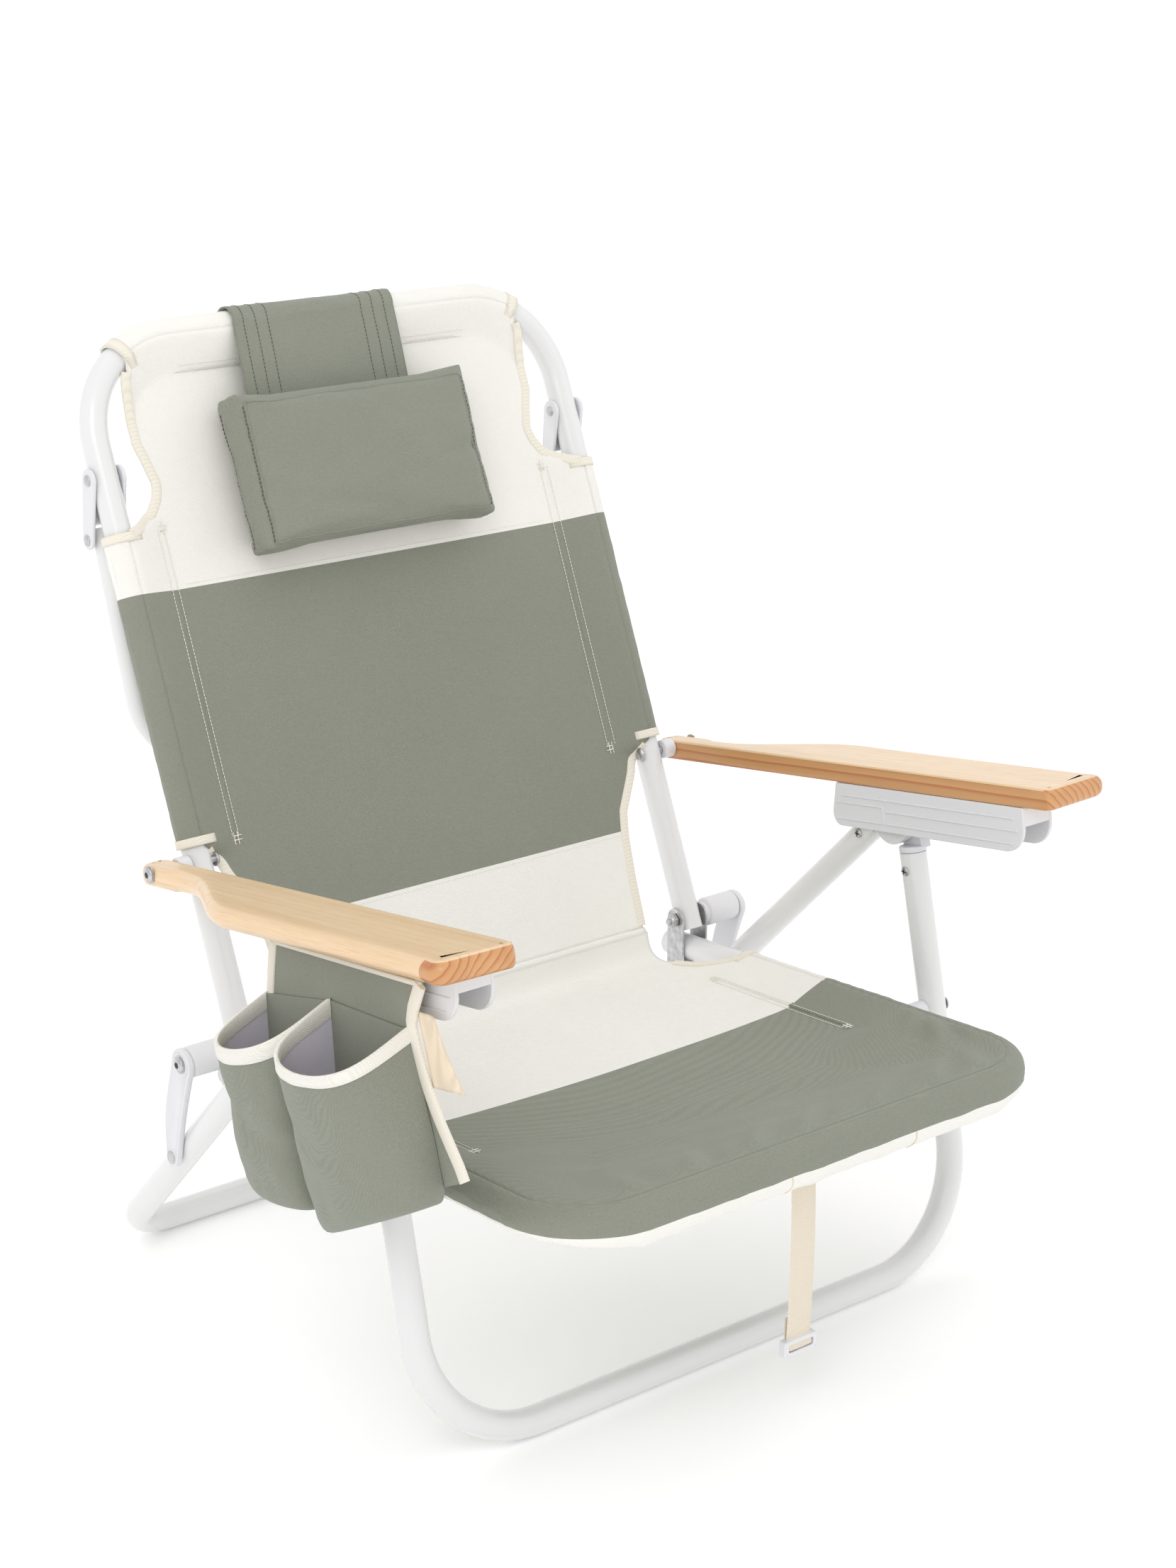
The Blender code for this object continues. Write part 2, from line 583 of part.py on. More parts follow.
# ----------------------------------------------------------------------------
# towel bar and its clevis brackets
# ----------------------------------------------------------------------------
TOWEL_PIVOT = back_point(TOWEL_TOP_V, TOWEL_TOP_N)
towel_end = back_point(TOWEL_END_V, TOWEL_END_N)
tdir = (Vector(TOWEL_PIVOT) - Vector(towel_end)).normalized()
towel_start = Vector(TOWEL_PIVOT) + tdir * 0.0085
towel_path, towel_nrm = u_path(HALF_BACK, (towel_start.x, towel_start.y), towel_end, TOWEL_CORNER_R, 6)
towel = to_object("towel_bar", sweep(towel_path, towel_nrm, TOWEL_R, wall=0.0010), on_pivot(TOWEL_PIVOT), PAINT)
for s, sx in SIDE.items():
    combine(towel, cyl_x(TOWEL_PIVOT, 0.0028, sx * (HALF_BACK - 0.02), sx * (HALF_BACK + 0.02), 8),
            "DIFFERENCE", "towel_hole_" + s)
    rv = turned_x(TOWEL_PIVOT, [(sx * (HALF_BACK - 0.0172), 0.0022), (sx * (HALF_BACK - 0.0158), 0.0042),
                                (sx * (HALF_BACK - 0.0158), 0.0022), (sx * (HALF_BACK + 0.0158), 0.0022),
                                (sx * (HALF_BACK + 0.0158), 0.0046), (sx * (HALF_BACK + 0.0176), 0.0030)], 10)
    to_object("towel_bar_rivet_" + s, rv, on_pivot(TOWEL_PIVOT, sx * HALF_BACK), ZINC)
    rv = turned_x(TOWEL_UPPER, [(sx * (HALF_BACK - 0.0172), 0.0022), (sx * (HALF_BACK - 0.0158), 0.0042),
                                (sx * (HALF_BACK - 0.0158), 0.0022), (sx * (HALF_BACK + 0.0158), 0.0022),
                                (sx * (HALF_BACK + 0.0158), 0.0046), (sx * (HALF_BACK + 0.0176), 0.0030)], 10)
    to_object("towel_bracket_rivet_" + s, rv, on_pivot(TOWEL_UPPER, sx * HALF_BACK), ZINC)
    # two ears either side of the back tube, joined by a bridge above the towel bar's end
    up, lo = Vector(TOWEL_UPPER), Vector(TOWEL_PIVOT)
    ax = (lo - up).normalized()
    pr = Vector((-ax.y, ax.x))
    ln = (lo - up).length
    outline = []
    for k in range(9):
        a = math.radians(90 + 180 * k / 8)
        outline.append(up + ax * (0.0095 * math.cos(a)) + pr * (0.0095 * math.sin(a)))
    for k in range(9):
        a = math.radians(-90 + 180 * k / 8)
        outline.append(up + ax * (ln + 0.0078 * math.cos(a)) + pr * (0.0078 * math.sin(a)))
    outline = [(p.x, p.y) for p in outline]
    c = sx * HALF_BACK
    tb = to_object("towel_bracket_" + s, plate_x(outline, c - 0.0155, c - 0.0125), on_pivot(TOWEL_UPPER, c), PLASTIC)
    combine(tb, plate_x(outline, c + 0.0125, c + 0.0155), "UNION", "towel_ear_" + s)
    b0 = back_point(TOWEL_TOP_V + 0.0155, -0.0125)
    b1 = back_point(TOWEL_TOP_V + 0.0300, -0.0160)
    mid = Vector(((b0[0] + b1[0]) / 2, (b0[1] + b1[1]) / 2))
    bridge = slab([(-0.0070, -0.0016), (0.0070, -0.0016), (0.0070, 0.0016), (-0.0070, 0.0016)],
                  (c, mid.x, mid.y), (0, BACK_U[0], BACK_U[1]), (0, BACK_N[0], BACK_N[1]), (1, 0, 0), -0.0140, 0.0140)
    combine(tb, bridge, "UNION", "towel_bridge_" + s)
    for nm, cc in (("upper", TOWEL_UPPER), ("lower", TOWEL_PIVOT)):
        combine(tb, cyl_x(cc, 0.0027, c - 0.02, c + 0.02, 8), "DIFFERENCE", "towel_%s_bore_%s" % (nm, s))

# plastic plugs in the back tube's lower ends
bdir = Vector((0.0, BACK_U[0], BACK_U[1]))
for s, sx in SIDE.items():
    e = back_point(-BACK_TAIL)
    end = Vector((sx * HALF_BACK, e[0], e[1]))
    pl = sweep([end + bdir * 0.0002, end + bdir * 0.0060], back_nrm, TUBE_R - TUBE_WALL - GAP * 1.6, 12)
    to_object("back_end_plug_" + s, pl, tuple(end), PLASTIC)

# ----------------------------------------------------------------------------
# armrests, their bolts, spacers and racks
# ----------------------------------------------------------------------------
arm_f = Vector((0.0, -math.cos(ARM_SLOPE), math.sin(ARM_SLOPE)))      # forward along the arm
arm_up = Vector((0.0, math.sin(ARM_SLOPE), math.cos(ARM_SLOPE)))


def smooth_step(t):
    t = max(0.0, min(1.0, t))
    return t * t * (3 - 2 * t)


def arm_outer(sv):
    """Outer edge of the armrest: narrow neck, S-curve, then full width."""
    return ARM_NECK_X + (ARM_OUT_X - ARM_NECK_X) * smooth_step((sv - 0.055) / 0.135)


def arm_outline():
    pts = []
    pts += [(ARM_IN_X + 0.0060 - 0.0060 * math.cos(math.radians(a)), ARM_LEN - 0.0060 + 0.0060 * math.sin(math.radians(a)))
            for a in (0, 30, 60, 90)]
    pts += [(ARM_OUT_X - 0.0120 + 0.0120 * math.sin(math.radians(a)), ARM_LEN - 0.0120 + 0.0120 * math.cos(math.radians(a)))
            for a in (0, 30, 60, 90)]
    for k in range(13):
        sv = 0.205 - (0.205 - 0.045) * k / 12
        pts.append((arm_outer(sv), sv))
    pts += [(ARM_NECK_X - 0.0080 + 0.0080 * math.cos(math.radians(a)), -0.0110 - 0.0080 * math.sin(math.radians(a)))
            for a in (0, 30, 60, 90)]
    pts += [(ARM_IN_X + 0.0060 - 0.0060 * math.sin(math.radians(a)), -0.0130 - 0.0060 * math.cos(math.radians(a)))
            for a in (0, 30, 60, 90)]
    return pts


def rack_wall():
    """Outline of one rack wall in (forward, up) from the arm pivot."""
    top = -ARM_THICK / 2 - ARM_DROP - GAP
    low = -ARM_THICK / 2 - RACK_DEPTH
    s0, s1 = 0.2200, 0.4430
    return [(s0 + 0.0020, top), (s0 - 0.0040, low + 0.0120), (s0 - 0.0030, low + 0.0050), (s0 + 0.0010, low + 0.0010),
            (s0 + 0.0060, low), (s1 - 0.0160, low), (s1 - 0.0080, low + 0.0030), (s1 - 0.0030, low + 0.0100), (s1, low + 0.0220),
            (s1, top)]


def arm_yz(sv, h):
    return (ARM_PIVOT[0] + arm_f.y * sv + arm_up.y * h, ARM_PIVOT[1] + arm_f.z * sv + arm_up.z * h)


for s, sx in SIDE.items():
    o = (0.0, ARM_PIVOT[0], ARM_PIVOT[1])
    outline = [(sx * a, b) for a, b in arm_outline()]
    arm = to_object("armrest_" + s, slab(outline, o, (1, 0, 0), tuple(arm_f), tuple(arm_up),
                                       -ARM_THICK / 2 - ARM_DROP, ARM_THICK / 2 - ARM_DROP),
                    on_pivot(ARM_PIVOT, sx * ARM_IN_X), WOOD)
    arm.data.validate()
    bev = arm.modifiers.new("round_over", "BEVEL")
    bev.width = 0.0070
    bev.segments = 2
    bev.limit_method = "ANGLE"
    bev.angle_limit = math.radians(60.0)
    combine(arm, cyl_x(ARM_PIVOT, 0.0035, sx * 0.25, sx * 0.30, 8), "DIFFERENCE", "arm_bolt_hole_" + s)
    ins, outs = HALF_BACK - TUBE_R - 0.0005, ARM_NECK_X + 0.0005
    bolt = turned_x(ARM_PIVOT, [(sx * (ins - 0.0040), 0.0060), (sx * ins, 0.0064), (sx * ins, 0.0030), (sx * outs, 0.0030),
                                (sx * outs, 0.0066), (sx * (outs + 0.0018), 0.0060), (sx * (outs + 0.0030), 0.0036)], 10)
    to_object("arm_bolt_" + s, bolt, on_pivot(ARM_PIVOT, sx * outs), ZINC)
    sp = ring_x(ARM_PIVOT, 0.0085, 0.0035, sx * (HALF_BACK + TUBE_R + 0.0004), sx * (ARM_IN_X - 0.0004), 12)
    to_object("arm_spacer_" + s, sp, on_pivot(ARM_PIVOT, sx * 0.256), PLASTIC)
    wall = [arm_yz(a, b) for a, b in rack_wall()]
    rack = to_object("arm_rack_" + s, plate_x(wall, sx * RACK_IN[0], sx * RACK_IN[1]), on_pivot(ARM_PIVOT, sx * RACK_IN[0]), PLASTIC)
    combine(rack, plate_x(wall, sx * RACK_OUT[0], sx * RACK_OUT[1]), "UNION", "rack_outer_" + s)
    under = -ARM_THICK / 2 - ARM_DROP
    web = [arm_yz(a, b) for a, b in ((0.2240, under - 0.0006), (0.4420, under - 0.0006),
                                     (0.4420, under - RACK_WEB), (0.2240, under - RACK_WEB))]
    combine(rack, plate_x(web, sx * (RACK_IN[1] - 0.0010), sx * (RACK_OUT[0] + 0.0010)), "UNION", "rack_web_" + s)
    nose = [arm_yz(a, b) for a, b in ((0.4390, under - 0.0015), (0.4426, under - 0.0015),
                                      (0.4426, -0.0280), (0.4390, -0.0280))]
    combine(rack, plate_x(nose, sx * (RACK_IN[1] - 0.0010), sx * (RACK_OUT[0] + 0.0010)), "UNION", "rack_nose_" + s)

# ----------------------------------------------------------------------------
# back fabric: panel between the side tubes with sleeves on the sides and over the top bar
# ----------------------------------------------------------------------------
def back_edge_x(v):
    """Half width of the panel at height v along the back."""
    knots = [(0.004, 0.186), (0.050, 0.190), (0.090, 0.195), (0.120, 0.202), (0.150, 0.2165), (0.165, 0.2255),
             (0.432, 0.2255), (0.446, 0.2165), (0.462, 0.2060), (0.490, 0.1990), (0.530, 0.1985), (0.555, 0.1930)]
    for (v0, x0), (v1, x1) in zip(knots, knots[1:]):
        if v <= v1:
            return x0 + (x1 - x0) * (v - v0) / (v1 - v0)
    return knots[-1][1]


def panel_outline():
    vs = [0.004, 0.050, 0.090, 0.120, 0.150, 0.165, 0.432, 0.446, 0.462, 0.490, 0.530, 0.555]
    right = [(back_edge_x(v), v) for v in vs]
    top = []
    for k in (3, 2, 1, 0):                                     # concentric with the bar's corner
        a = 0.5 * math.pi * k / 9
        top.append((HALF_BACK - BACK_CORNER_R + (BACK_CORNER_R - 0.0130) * math.sin(a),
                    BACK_LEN - BACK_CORNER_R + (BACK_CORNER_R - 0.0130) * math.cos(a)))
    pts = right + top + [(0.0, BACK_LEN - 0.0130)]
    return pts + [(-x, v) for x, v in reversed(pts) if x > 0.0]


bo = (0.0, HINGE[0], HINGE[1])
bu3, bn3 = (0.0, BACK_U[0], BACK_U[1]), (0.0, BACK_N[0], BACK_N[1])
back_fabric = to_object("back_fabric", slab(panel_outline(), bo, (1, 0, 0), bu3, bn3, -FABRIC / 2, FABRIC / 2),
                        on_pivot(HINGE), CREAM)
for s, sx in SIDE.items():
    a, b = back_point(0.170), back_point(0.430)
    sl = sweep([(sx * HALF_BACK, a[0], a[1]), (sx * HALF_BACK, b[0], b[1])], back_nrm, SLEEVE_OUT, SIDES, wall=SLEEVE_OUT - SLEEVE_IN)
    combine(back_fabric, sl, "UNION", "back_sleeve_" + s)
half = HALF_BACK - BACK_CORNER_R
top_pts = []
for sg, ks in ((-1.0, (3, 2, 1, 0)), (1.0, (0, 1, 2, 3))):
    for k in ks:
        a = 0.5 * math.pi * k / 9
        top_pts.append((sg * (half + BACK_CORNER_R * math.sin(a)), BACK_LEN - BACK_CORNER_R * (1 - math.cos(a))))
top_sleeve = sweep([Vector(bo) + Vector((1, 0, 0)) * x + Vector(bu3) * v for x, v in top_pts], bn3,
                   SLEEVE_OUT, SIDES, wall=SLEEVE_OUT - SLEEVE_IN)
combine(back_fabric, top_sleeve, "UNION", "back_top_sleeve")

# ----------------------------------------------------------------------------
# seat fabric: panel with a sleeve that follows the seat tube round the front
# ----------------------------------------------------------------------------
seat_up = Vector((0.0, SEAT_SLOPE, 1.0)).normalized()
so = Vector((0.0, 0.0, seat_z(0.0)))
k_seat = math.sqrt(1 + SEAT_SLOPE ** 2)


def seat_pt(x, y, h=0.0):
    return Vector((x, y, seat_z(y))) + seat_up * h


def seat_outline():
    e = 0.0131
    r = SEAT_CORNER_R - e
    w = HALF_BACK - e
    y0 = SEAT_FRONT_Y + e
    pts = [(w - r + r * math.cos(math.radians(a)), y0 + r - r * math.sin(math.radians(a))) for a in (90, 70, 50, 30, 10, 0)]
    pts += [(w, 0.3700), (0.2170, 0.3850), (0.2060, 0.4000), (0.2000, 0.4200), (0.1930, 0.4400)]
    return pts + [(-x, y) for x, y in reversed(pts)]


seat_fabric = to_object("seat_fabric", slab([(x, y * k_seat) for x, y in seat_outline()], tuple(so), (1, 0, 0),
                                            tuple(Vector((0.0, 1.0, -SEAT_SLOPE)).normalized()), tuple(seat_up), -FABRIC / 2, FABRIC / 2),
                        on_pivot(SEAT_PIVOT), CREAM)
sl_path, _ = u_path(HALF_BACK, (0.3720, seat_z(0.3720)), (SEAT_FRONT_Y, seat_z(SEAT_FRONT_Y)), SEAT_CORNER_R)
combine(seat_fabric, sweep(sl_path, seat_nrm, SLEEVE_OUT, wall=SLEEVE_OUT - SLEEVE_IN), "UNION", "seat_sleeve")
# the rear hem rises to the hinge line
hem_pts = []
for y, z in ((0.4385, seat_z(0.4385) - 0.0012), (0.4440, seat_z(0.4440) + 0.0008), (0.4490, 0.2060), (0.4520, 0.2125), (0.4530, 0.2185)):
    hem_pts.append((y, z))
hem_top = [(y - 0.0024, z + 0.0012) for y, z in hem_pts]
hem = plate_x(hem_pts + hem_top[::-1], -0.1900, 0.1900)
combine(seat_fabric, hem, "UNION", "seat_rear_hem")
for s, sx in SIDE.items():
    combine(seat_fabric, box((min(sx * 0.2440, sx * 0.2600), SEAT_PIVOT[0] - 0.0200, SEAT_PIVOT[1] - 0.0200),
                             (max(sx * 0.2440, sx * 0.2600), SEAT_PIVOT[0] + 0.0240, SEAT_PIVOT[1] + 0.0200)),
            "DIFFERENCE", "seat_notch_" + s)
    combine(seat_fabric, cyl_x(SEAT_PIVOT, 0.0070, sx * 0.2100, sx * 0.2460, 10), "DIFFERENCE", "seat_bolt_relief_" + s)

# ----------------------------------------------------------------------------
# headrest: pillow and flap over the top bar
# ----------------------------------------------------------------------------
pillow = to_object("headrest_pillow", slab([(PILLOW_X0, PILLOW_V0), (PILLOW_X1, PILLOW_V0), (PILLOW_X1, PILLOW_V1), (PILLOW_X0, PILLOW_V1)],
                                           bo, (1, 0, 0), bu3, bn3, PILLOW_N0, PILLOW_N1), on_pivot(back_point(BACK_LEN)), GREEN)
pb = pillow.modifiers.new("soft_edges", "BEVEL")
pb.width = 0.010
pb.segments = 2
pb.limit_method = "ANGLE"

FLAP_IN, FLAP_OUT = SLEEVE_OUT + 0.0008, SLEEVE_OUT + 0.0026
flap_pts = []
angles = [0, 22, 45, 67, 90, 112, 135, 150]
for r, order in ((FLAP_OUT, angles), (FLAP_IN, angles[::-1])):
    ring = [(BACK_LEN + r * math.sin(math.radians(a)), r * math.cos(math.radians(a))) for a in order]
    if r == FLAP_OUT:
        ring = [(PILLOW_V1 + 0.0006, r)] + ring
    else:
        ring = ring + [(PILLOW_V1 + 0.0006, r)]
    flap_pts += ring
flap = slab(flap_pts, (0.0, HINGE[0], HINGE[1]), bu3, bn3, (1, 0, 0), FLAP_X0, FLAP_X1)
to_object("headrest_flap", flap, on_pivot(back_point(BACK_LEN)), GREEN)

# ----------------------------------------------------------------------------
# armrest organiser on the left armrest: panel, two cup pockets, label tab
# ----------------------------------------------------------------------------
def arm_under(y):
    """Height of the armrest's underside above the floor."""
    sv = (ARM_PIVOT[0] - y) / math.cos(ARM_SLOPE)
    return ARM_PIVOT[1] + arm_f.z * sv - (ARM_THICK / 2 + ARM_DROP) / math.cos(ARM_SLOPE)


ORG_REAR_Y, ORG_FRONT_Y = 0.2900, 0.0966
ORG_OUTLINE = [(ORG_REAR_Y, arm_under(ORG_REAR_Y) - 0.0006), (ORG_FRONT_Y, arm_under(ORG_FRONT_Y) - 0.0006),
               (0.1090, 0.3840), (0.1050, 0.3720), (0.0880, 0.3370), (0.0640, 0.3060), (0.0450, 0.2850),
               (0.0600, 0.2640), (0.1300, 0.2250), (0.1950, 0.1920), (0.2450, 0.1820), (0.2890, 0.1860), (0.2960, 0.3450)]


def cup(top_rear, top_front, low_rear, low_front, depth, low_depth, drop):
    """An open cup pocket: D-shaped rim that droops outwards, D-shaped floor.

    The four corners are (y, z) points on the panel: rim and floor, rear and front.
    """
    levels = [(0.0, 1.0), (0.22, 1.0), (0.45, 1.0), (0.68, 0.99), (0.88, 0.95), (0.97, 0.86), (1.0, 0.72)]
    nb, nf = 9, 3
    x_face = -ORGANISER_X - 0.0022

    def ring(t, shrink, inset):
        pts = []
        d = (depth + (low_depth - depth) * t) * shrink - inset
        for k in range(nb + nf):
            if k < nb:
                a = math.pi * k / (nb - 1)
                u, w = 0.5 - 0.5 * math.cos(a), abs(math.sin(a)) ** 0.45
            else:
                u, w = 1.0 - (k - nb + 1) / (nf + 1.0), 0.0
            width = math.dist(top_rear, top_front)
            m = inset / width + (1.0 - shrink) * 0.35
            u = m + (1.0 - 2.0 * m) * u
            yt, zt = (top_rear[0] + (top_front[0] - top_rear[0]) * u, top_rear[1] + (top_front[1] - top_rear[1]) * u)
            yb, zb = (low_rear[0] + (low_front[0] - low_rear[0]) * u, low_rear[1] + (low_front[1] - low_rear[1]) * u)
            zt -= drop * w
            x = x_face - inset - max(0.0, d - inset) * w if inset else x_face - d * w
            pts.append((x, yt + (yb - yt) * t, zt + (zb - zt) * t))
        return pts

    outer = [ring(t, k, 0.0) for t, k in levels]
    inner = [ring(t, k, 0.0018) for t, k in levels[:-1]]
    inner[-1] = [(x, y, z + 0.0030) for x, y, z in inner[-1]]
    rows = outer[::-1] + inner
    n = nb + nf
    out = Piece()
    for row in rows:
        out.v += row
    m = len(rows)
    for i in range(m - 1):
        for j in range(n):
            k = (j + 1) % n
            out.f.append((i * n + j, i * n + k, (i + 1) * n + k, (i + 1) * n + j))
    out.f.append(tuple(range(n)))
    out.f.append(tuple(range((m - 1) * n, m * n)))
    return out


to_object("organiser_panel", plate_x(ORG_OUTLINE, -ORGANISER_X, -ORGANISER_X - 0.0016), on_pivot(ARM_PIVOT, -ARM_IN_X), GREEN)
to_object("cup_pocket_front", cup((0.2110, 0.3680), (0.1110, 0.3790), (0.1960, 0.1900), (0.0640, 0.2640), 0.0668, 0.0440, 0.0280),
          on_pivot(ARM_PIVOT, -ARM_IN_X), GREEN)
to_object("cup_pocket_rear", cup((0.3000, 0.3440), (0.2125, 0.3670), (0.2920, 0.1960), (0.1995, 0.2060), 0.0620, 0.0440, 0.0270),
          on_pivot(ARM_PIVOT, -ARM_IN_X), GREEN)
tab = slab([(-0.1070, 0.3945), (-0.0900, 0.3960), (-0.0560, 0.3490), (-0.0860, 0.3420)],
           (-ORGANISER_X + 0.0005, 0.0, 0.0), (0, -1, 0), (0, 0, 1), (1, 0, 0), 0.0, 0.0012)
to_object("label_tab", tab, on_pivot(ARM_PIVOT, -ARM_IN_X), WEBBING)

# ----------------------------------------------------------------------------
# closing strap hanging under the seat front, with its buckle
# ----------------------------------------------------------------------------
strap_pts = []
rows_n = 12
prof = []
for k in range(rows_n + 1):
    t = k / rows_n
    z = STRAP_TOP_Z + (STRAP_LOW_Z - STRAP_TOP_Z) * t
    y = STRAP_Y - 0.0030 * math.sin(math.pi * t)
    prof.append((y, z))
outline = [(y, z) for y, z in prof] + [(y + STRAP_T, z) for y, z in reversed(prof)]
strap = plate_x(outline, STRAP_X - STRAP_W / 2, STRAP_X + STRAP_W / 2)
to_object("closing_strap", strap, (STRAP_X, STRAP_Y, STRAP_TOP_Z), WEBBING)
bk = to_object("strap_buckle", box((STRAP_X - 0.0175, STRAP_Y - 0.0035, STRAP_LOW_Z - 0.0135),
                                   (STRAP_X + 0.0175, STRAP_Y + 0.0045, STRAP_LOW_Z - GAP)),
               (STRAP_X, STRAP_Y, STRAP_LOW_Z), PLASTIC)
bbv = bk.modifiers.new("soft_edges", "BEVEL")
bbv.width = 0.0015
bbv.segments = 1
bbv.limit_method = "ANGLE"
combine(bk, box((STRAP_X - 0.0125, STRAP_Y - 0.0010, STRAP_LOW_Z - 0.0100),
                (STRAP_X + 0.0125, STRAP_Y + 0.0030, STRAP_LOW_Z + 0.0010)), "DIFFERENCE", "buckle_slot")
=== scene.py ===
import math

import bmesh
import bpy
from mathutils import Matrix, Vector, noise
from mathutils.bvhtree import BVHTree
from mathutils.geometry import delaunay_2d_cdt


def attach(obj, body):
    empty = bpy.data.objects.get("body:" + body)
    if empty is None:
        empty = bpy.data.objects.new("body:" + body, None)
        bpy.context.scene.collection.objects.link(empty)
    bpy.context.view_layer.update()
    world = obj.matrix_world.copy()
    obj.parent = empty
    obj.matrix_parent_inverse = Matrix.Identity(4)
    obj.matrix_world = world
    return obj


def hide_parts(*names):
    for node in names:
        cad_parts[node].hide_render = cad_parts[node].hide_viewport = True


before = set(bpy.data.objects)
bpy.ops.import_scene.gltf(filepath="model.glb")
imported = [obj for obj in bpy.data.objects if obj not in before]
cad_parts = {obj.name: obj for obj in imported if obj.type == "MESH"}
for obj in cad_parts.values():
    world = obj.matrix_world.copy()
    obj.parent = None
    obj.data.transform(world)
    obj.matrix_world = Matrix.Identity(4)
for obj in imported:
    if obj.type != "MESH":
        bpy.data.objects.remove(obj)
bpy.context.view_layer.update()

O = Vector((0.0223, -0.3527, 0.0))          # profile drawing to row frame


def G(x, y, z):
    return Vector((x, y, z)) + O


# --------------------------------------------------------------------------
# main dimensions, the same as the CAD model's
# --------------------------------------------------------------------------
TUBE_R, WALL = 0.0117, 0.0012
HB, HL = 0.2385, 0.2800
HINGE = (0.4565, 0.2260)
LEAN = math.radians(22.73)
BACK_LEN, BACK_R = 0.5932, 0.085
SEAT_SLOPE, SEAT_REF = 0.08, (0.150, 0.2216)
SEAT_FRONT_Y, SEAT_REAR_Y, SEAT_R = 0.0170, 0.4780, 0.060
FOOT_Z = TUBE_R * math.cos(math.pi / 12)
FRONT_FOOT, FRONT_TOP, FRONT_R = (0.1310, FOOT_Z), (0.2099, 0.3517), 0.0986
REAR_FOOT, REAR_TOP, REAR_R = (0.6017, FOOT_Z), (0.2546, 0.3657), 0.050
SEAT_PIVOT = (0.1790, 0.2193)
LEG_PIN = (0.2280, 0.3760)
LINK_REAR = (0.4785, 0.1345)
LINK_X0, LINK_X1 = 0.2924, 0.2980
ARM_PIVOT = (0.5115, 0.3715)
ARM_SLOPE = math.atan(0.164)
ARM_T, ARM_DROP, ARM_LEN = 0.0180, 0.0026, 0.4753
BU = Vector((0.0, math.sin(LEAN), math.cos(LEAN)))
BN = Vector((0.0, -math.cos(LEAN), math.sin(LEAN)))
SU = Vector((0.0, SEAT_SLOPE, 1.0)).normalized()
SD = Vector((0.0, 1.0, -SEAT_SLOPE)).normalized()
AF = Vector((0.0, -math.cos(ARM_SLOPE), math.sin(ARM_SLOPE)))
AU = Vector((0.0, math.sin(ARM_SLOPE), math.cos(ARM_SLOPE)))
XV = Vector((1.0, 0.0, 0.0))
SIDES = (("left", -1.0), ("right", 1.0))


def seat_z(y):
    return SEAT_REF[1] + SEAT_SLOPE * (SEAT_REF[0] - y)


def BP(x, v, n=0.0):
    return G(x, HINGE[0], HINGE[1]) + BU * v + BN * n


def SP(x, y, h=0.0):
    return G(x, y, seat_z(y)) + SU * h


def AP(x, s, h):
    return G(x, ARM_PIVOT[0], ARM_PIVOT[1]) + AF * s + AU * h


def cover(q, L, R=0.0134):
    """Height of the cloth that runs from the stitch line (q = L) up to the front of a tube (q = 0)."""
    if q >= L:
        return 0.0
    al = math.acos(R / L)
    qe, he = R * math.cos(al), R * math.sin(al)
    t = (L - q) / (L - qe)
    if q < qe:
        return math.sqrt(R * R - q * q) + 0.0006 - 0.0013 * (1.0 - max(0.0, q) / qe)
    return 0.0004 * sstep(0.0, 0.06, t) + (he + 0.0002) * min(1.0, t)


def sstep(a, b, t):
    t = max(0.0, min(1.0, (t - a) / (b - a)))
    return t * t * (3 - 2 * t)


def nz(x, y, z=0.0):
    return noise.noise(Vector((x, y, z)))


# --------------------------------------------------------------------------
# camera
# --------------------------------------------------------------------------
az, el = math.radians(-37.873), math.radians(18.359)
back = Vector((math.sin(az) * math.cos(el), -math.cos(az) * math.cos(el), math.sin(el)))
right = Vector((math.cos(az), math.sin(az), 0.0))
up = back.cross(right)
cam_data = bpy.data.cameras.new("camera")
cam = bpy.data.objects.new("camera", cam_data)
bpy.context.scene.collection.objects.link(cam)
rot = Matrix((right, up, back)).transposed().to_4x4()
cam.matrix_world = Matrix.Translation(O + Vector((-1.33863, -1.40628, 1.17806))) @ rot
cam_data.sensor_width = 36.0
cam_data.lens = 65.17
cam_data.shift_x = 0.00676
cam_data.shift_y = -0.00922
cam_data.clip_start = 0.05
cam_data.clip_end = 50.0
bpy.context.scene.camera = cam

# --------------------------------------------------------------------------
# materials
# --------------------------------------------------------------------------


def srgb(r, g, b):
    out = []
    for c in (r, g, b):
        c = c / 255.0
        out.append(c / 12.92 if c <= 0.04045 else ((c + 0.055) / 1.055) ** 2.4)
    return (out[0], out[1], out[2], 1.0)


def new_mat(name):
    m = bpy.data.materials.new(name)
    m.use_nodes = True
    nt = m.node_tree
    return m, nt, nt.nodes["Principled BSDF"]


def node(nt, kind, **props):
    n = nt.nodes.new(kind)
    for k, v in props.items():
        if k in n.inputs.keys():
            n.inputs[k].default_value = v
        else:
            setattr(n, k, v)
    return n


def coords(nt, scale=(1, 1, 1), rotation=(0, 0, 0)):
    tc = node(nt, "ShaderNodeTexCoord")
    mp = node(nt, "ShaderNodeMapping")
    mp.inputs["Scale"].default_value = scale
    mp.inputs["Rotation"].default_value = rotation
    nt.links.new(tc.outputs["Object"], mp.inputs["Vector"])
    return mp.outputs["Vector"]


def ramp(nt, fac, stops):
    r = node(nt, "ShaderNodeValToRGB")
    els = r.color_ramp.elements
    while len(els) < len(stops):
        els.new(0.5)
    for e, (p, c) in zip(els, stops):
        e.position = p
        e.color = c
    nt.links.new(fac, r.inputs["Fac"])
    return r.outputs["Color"]


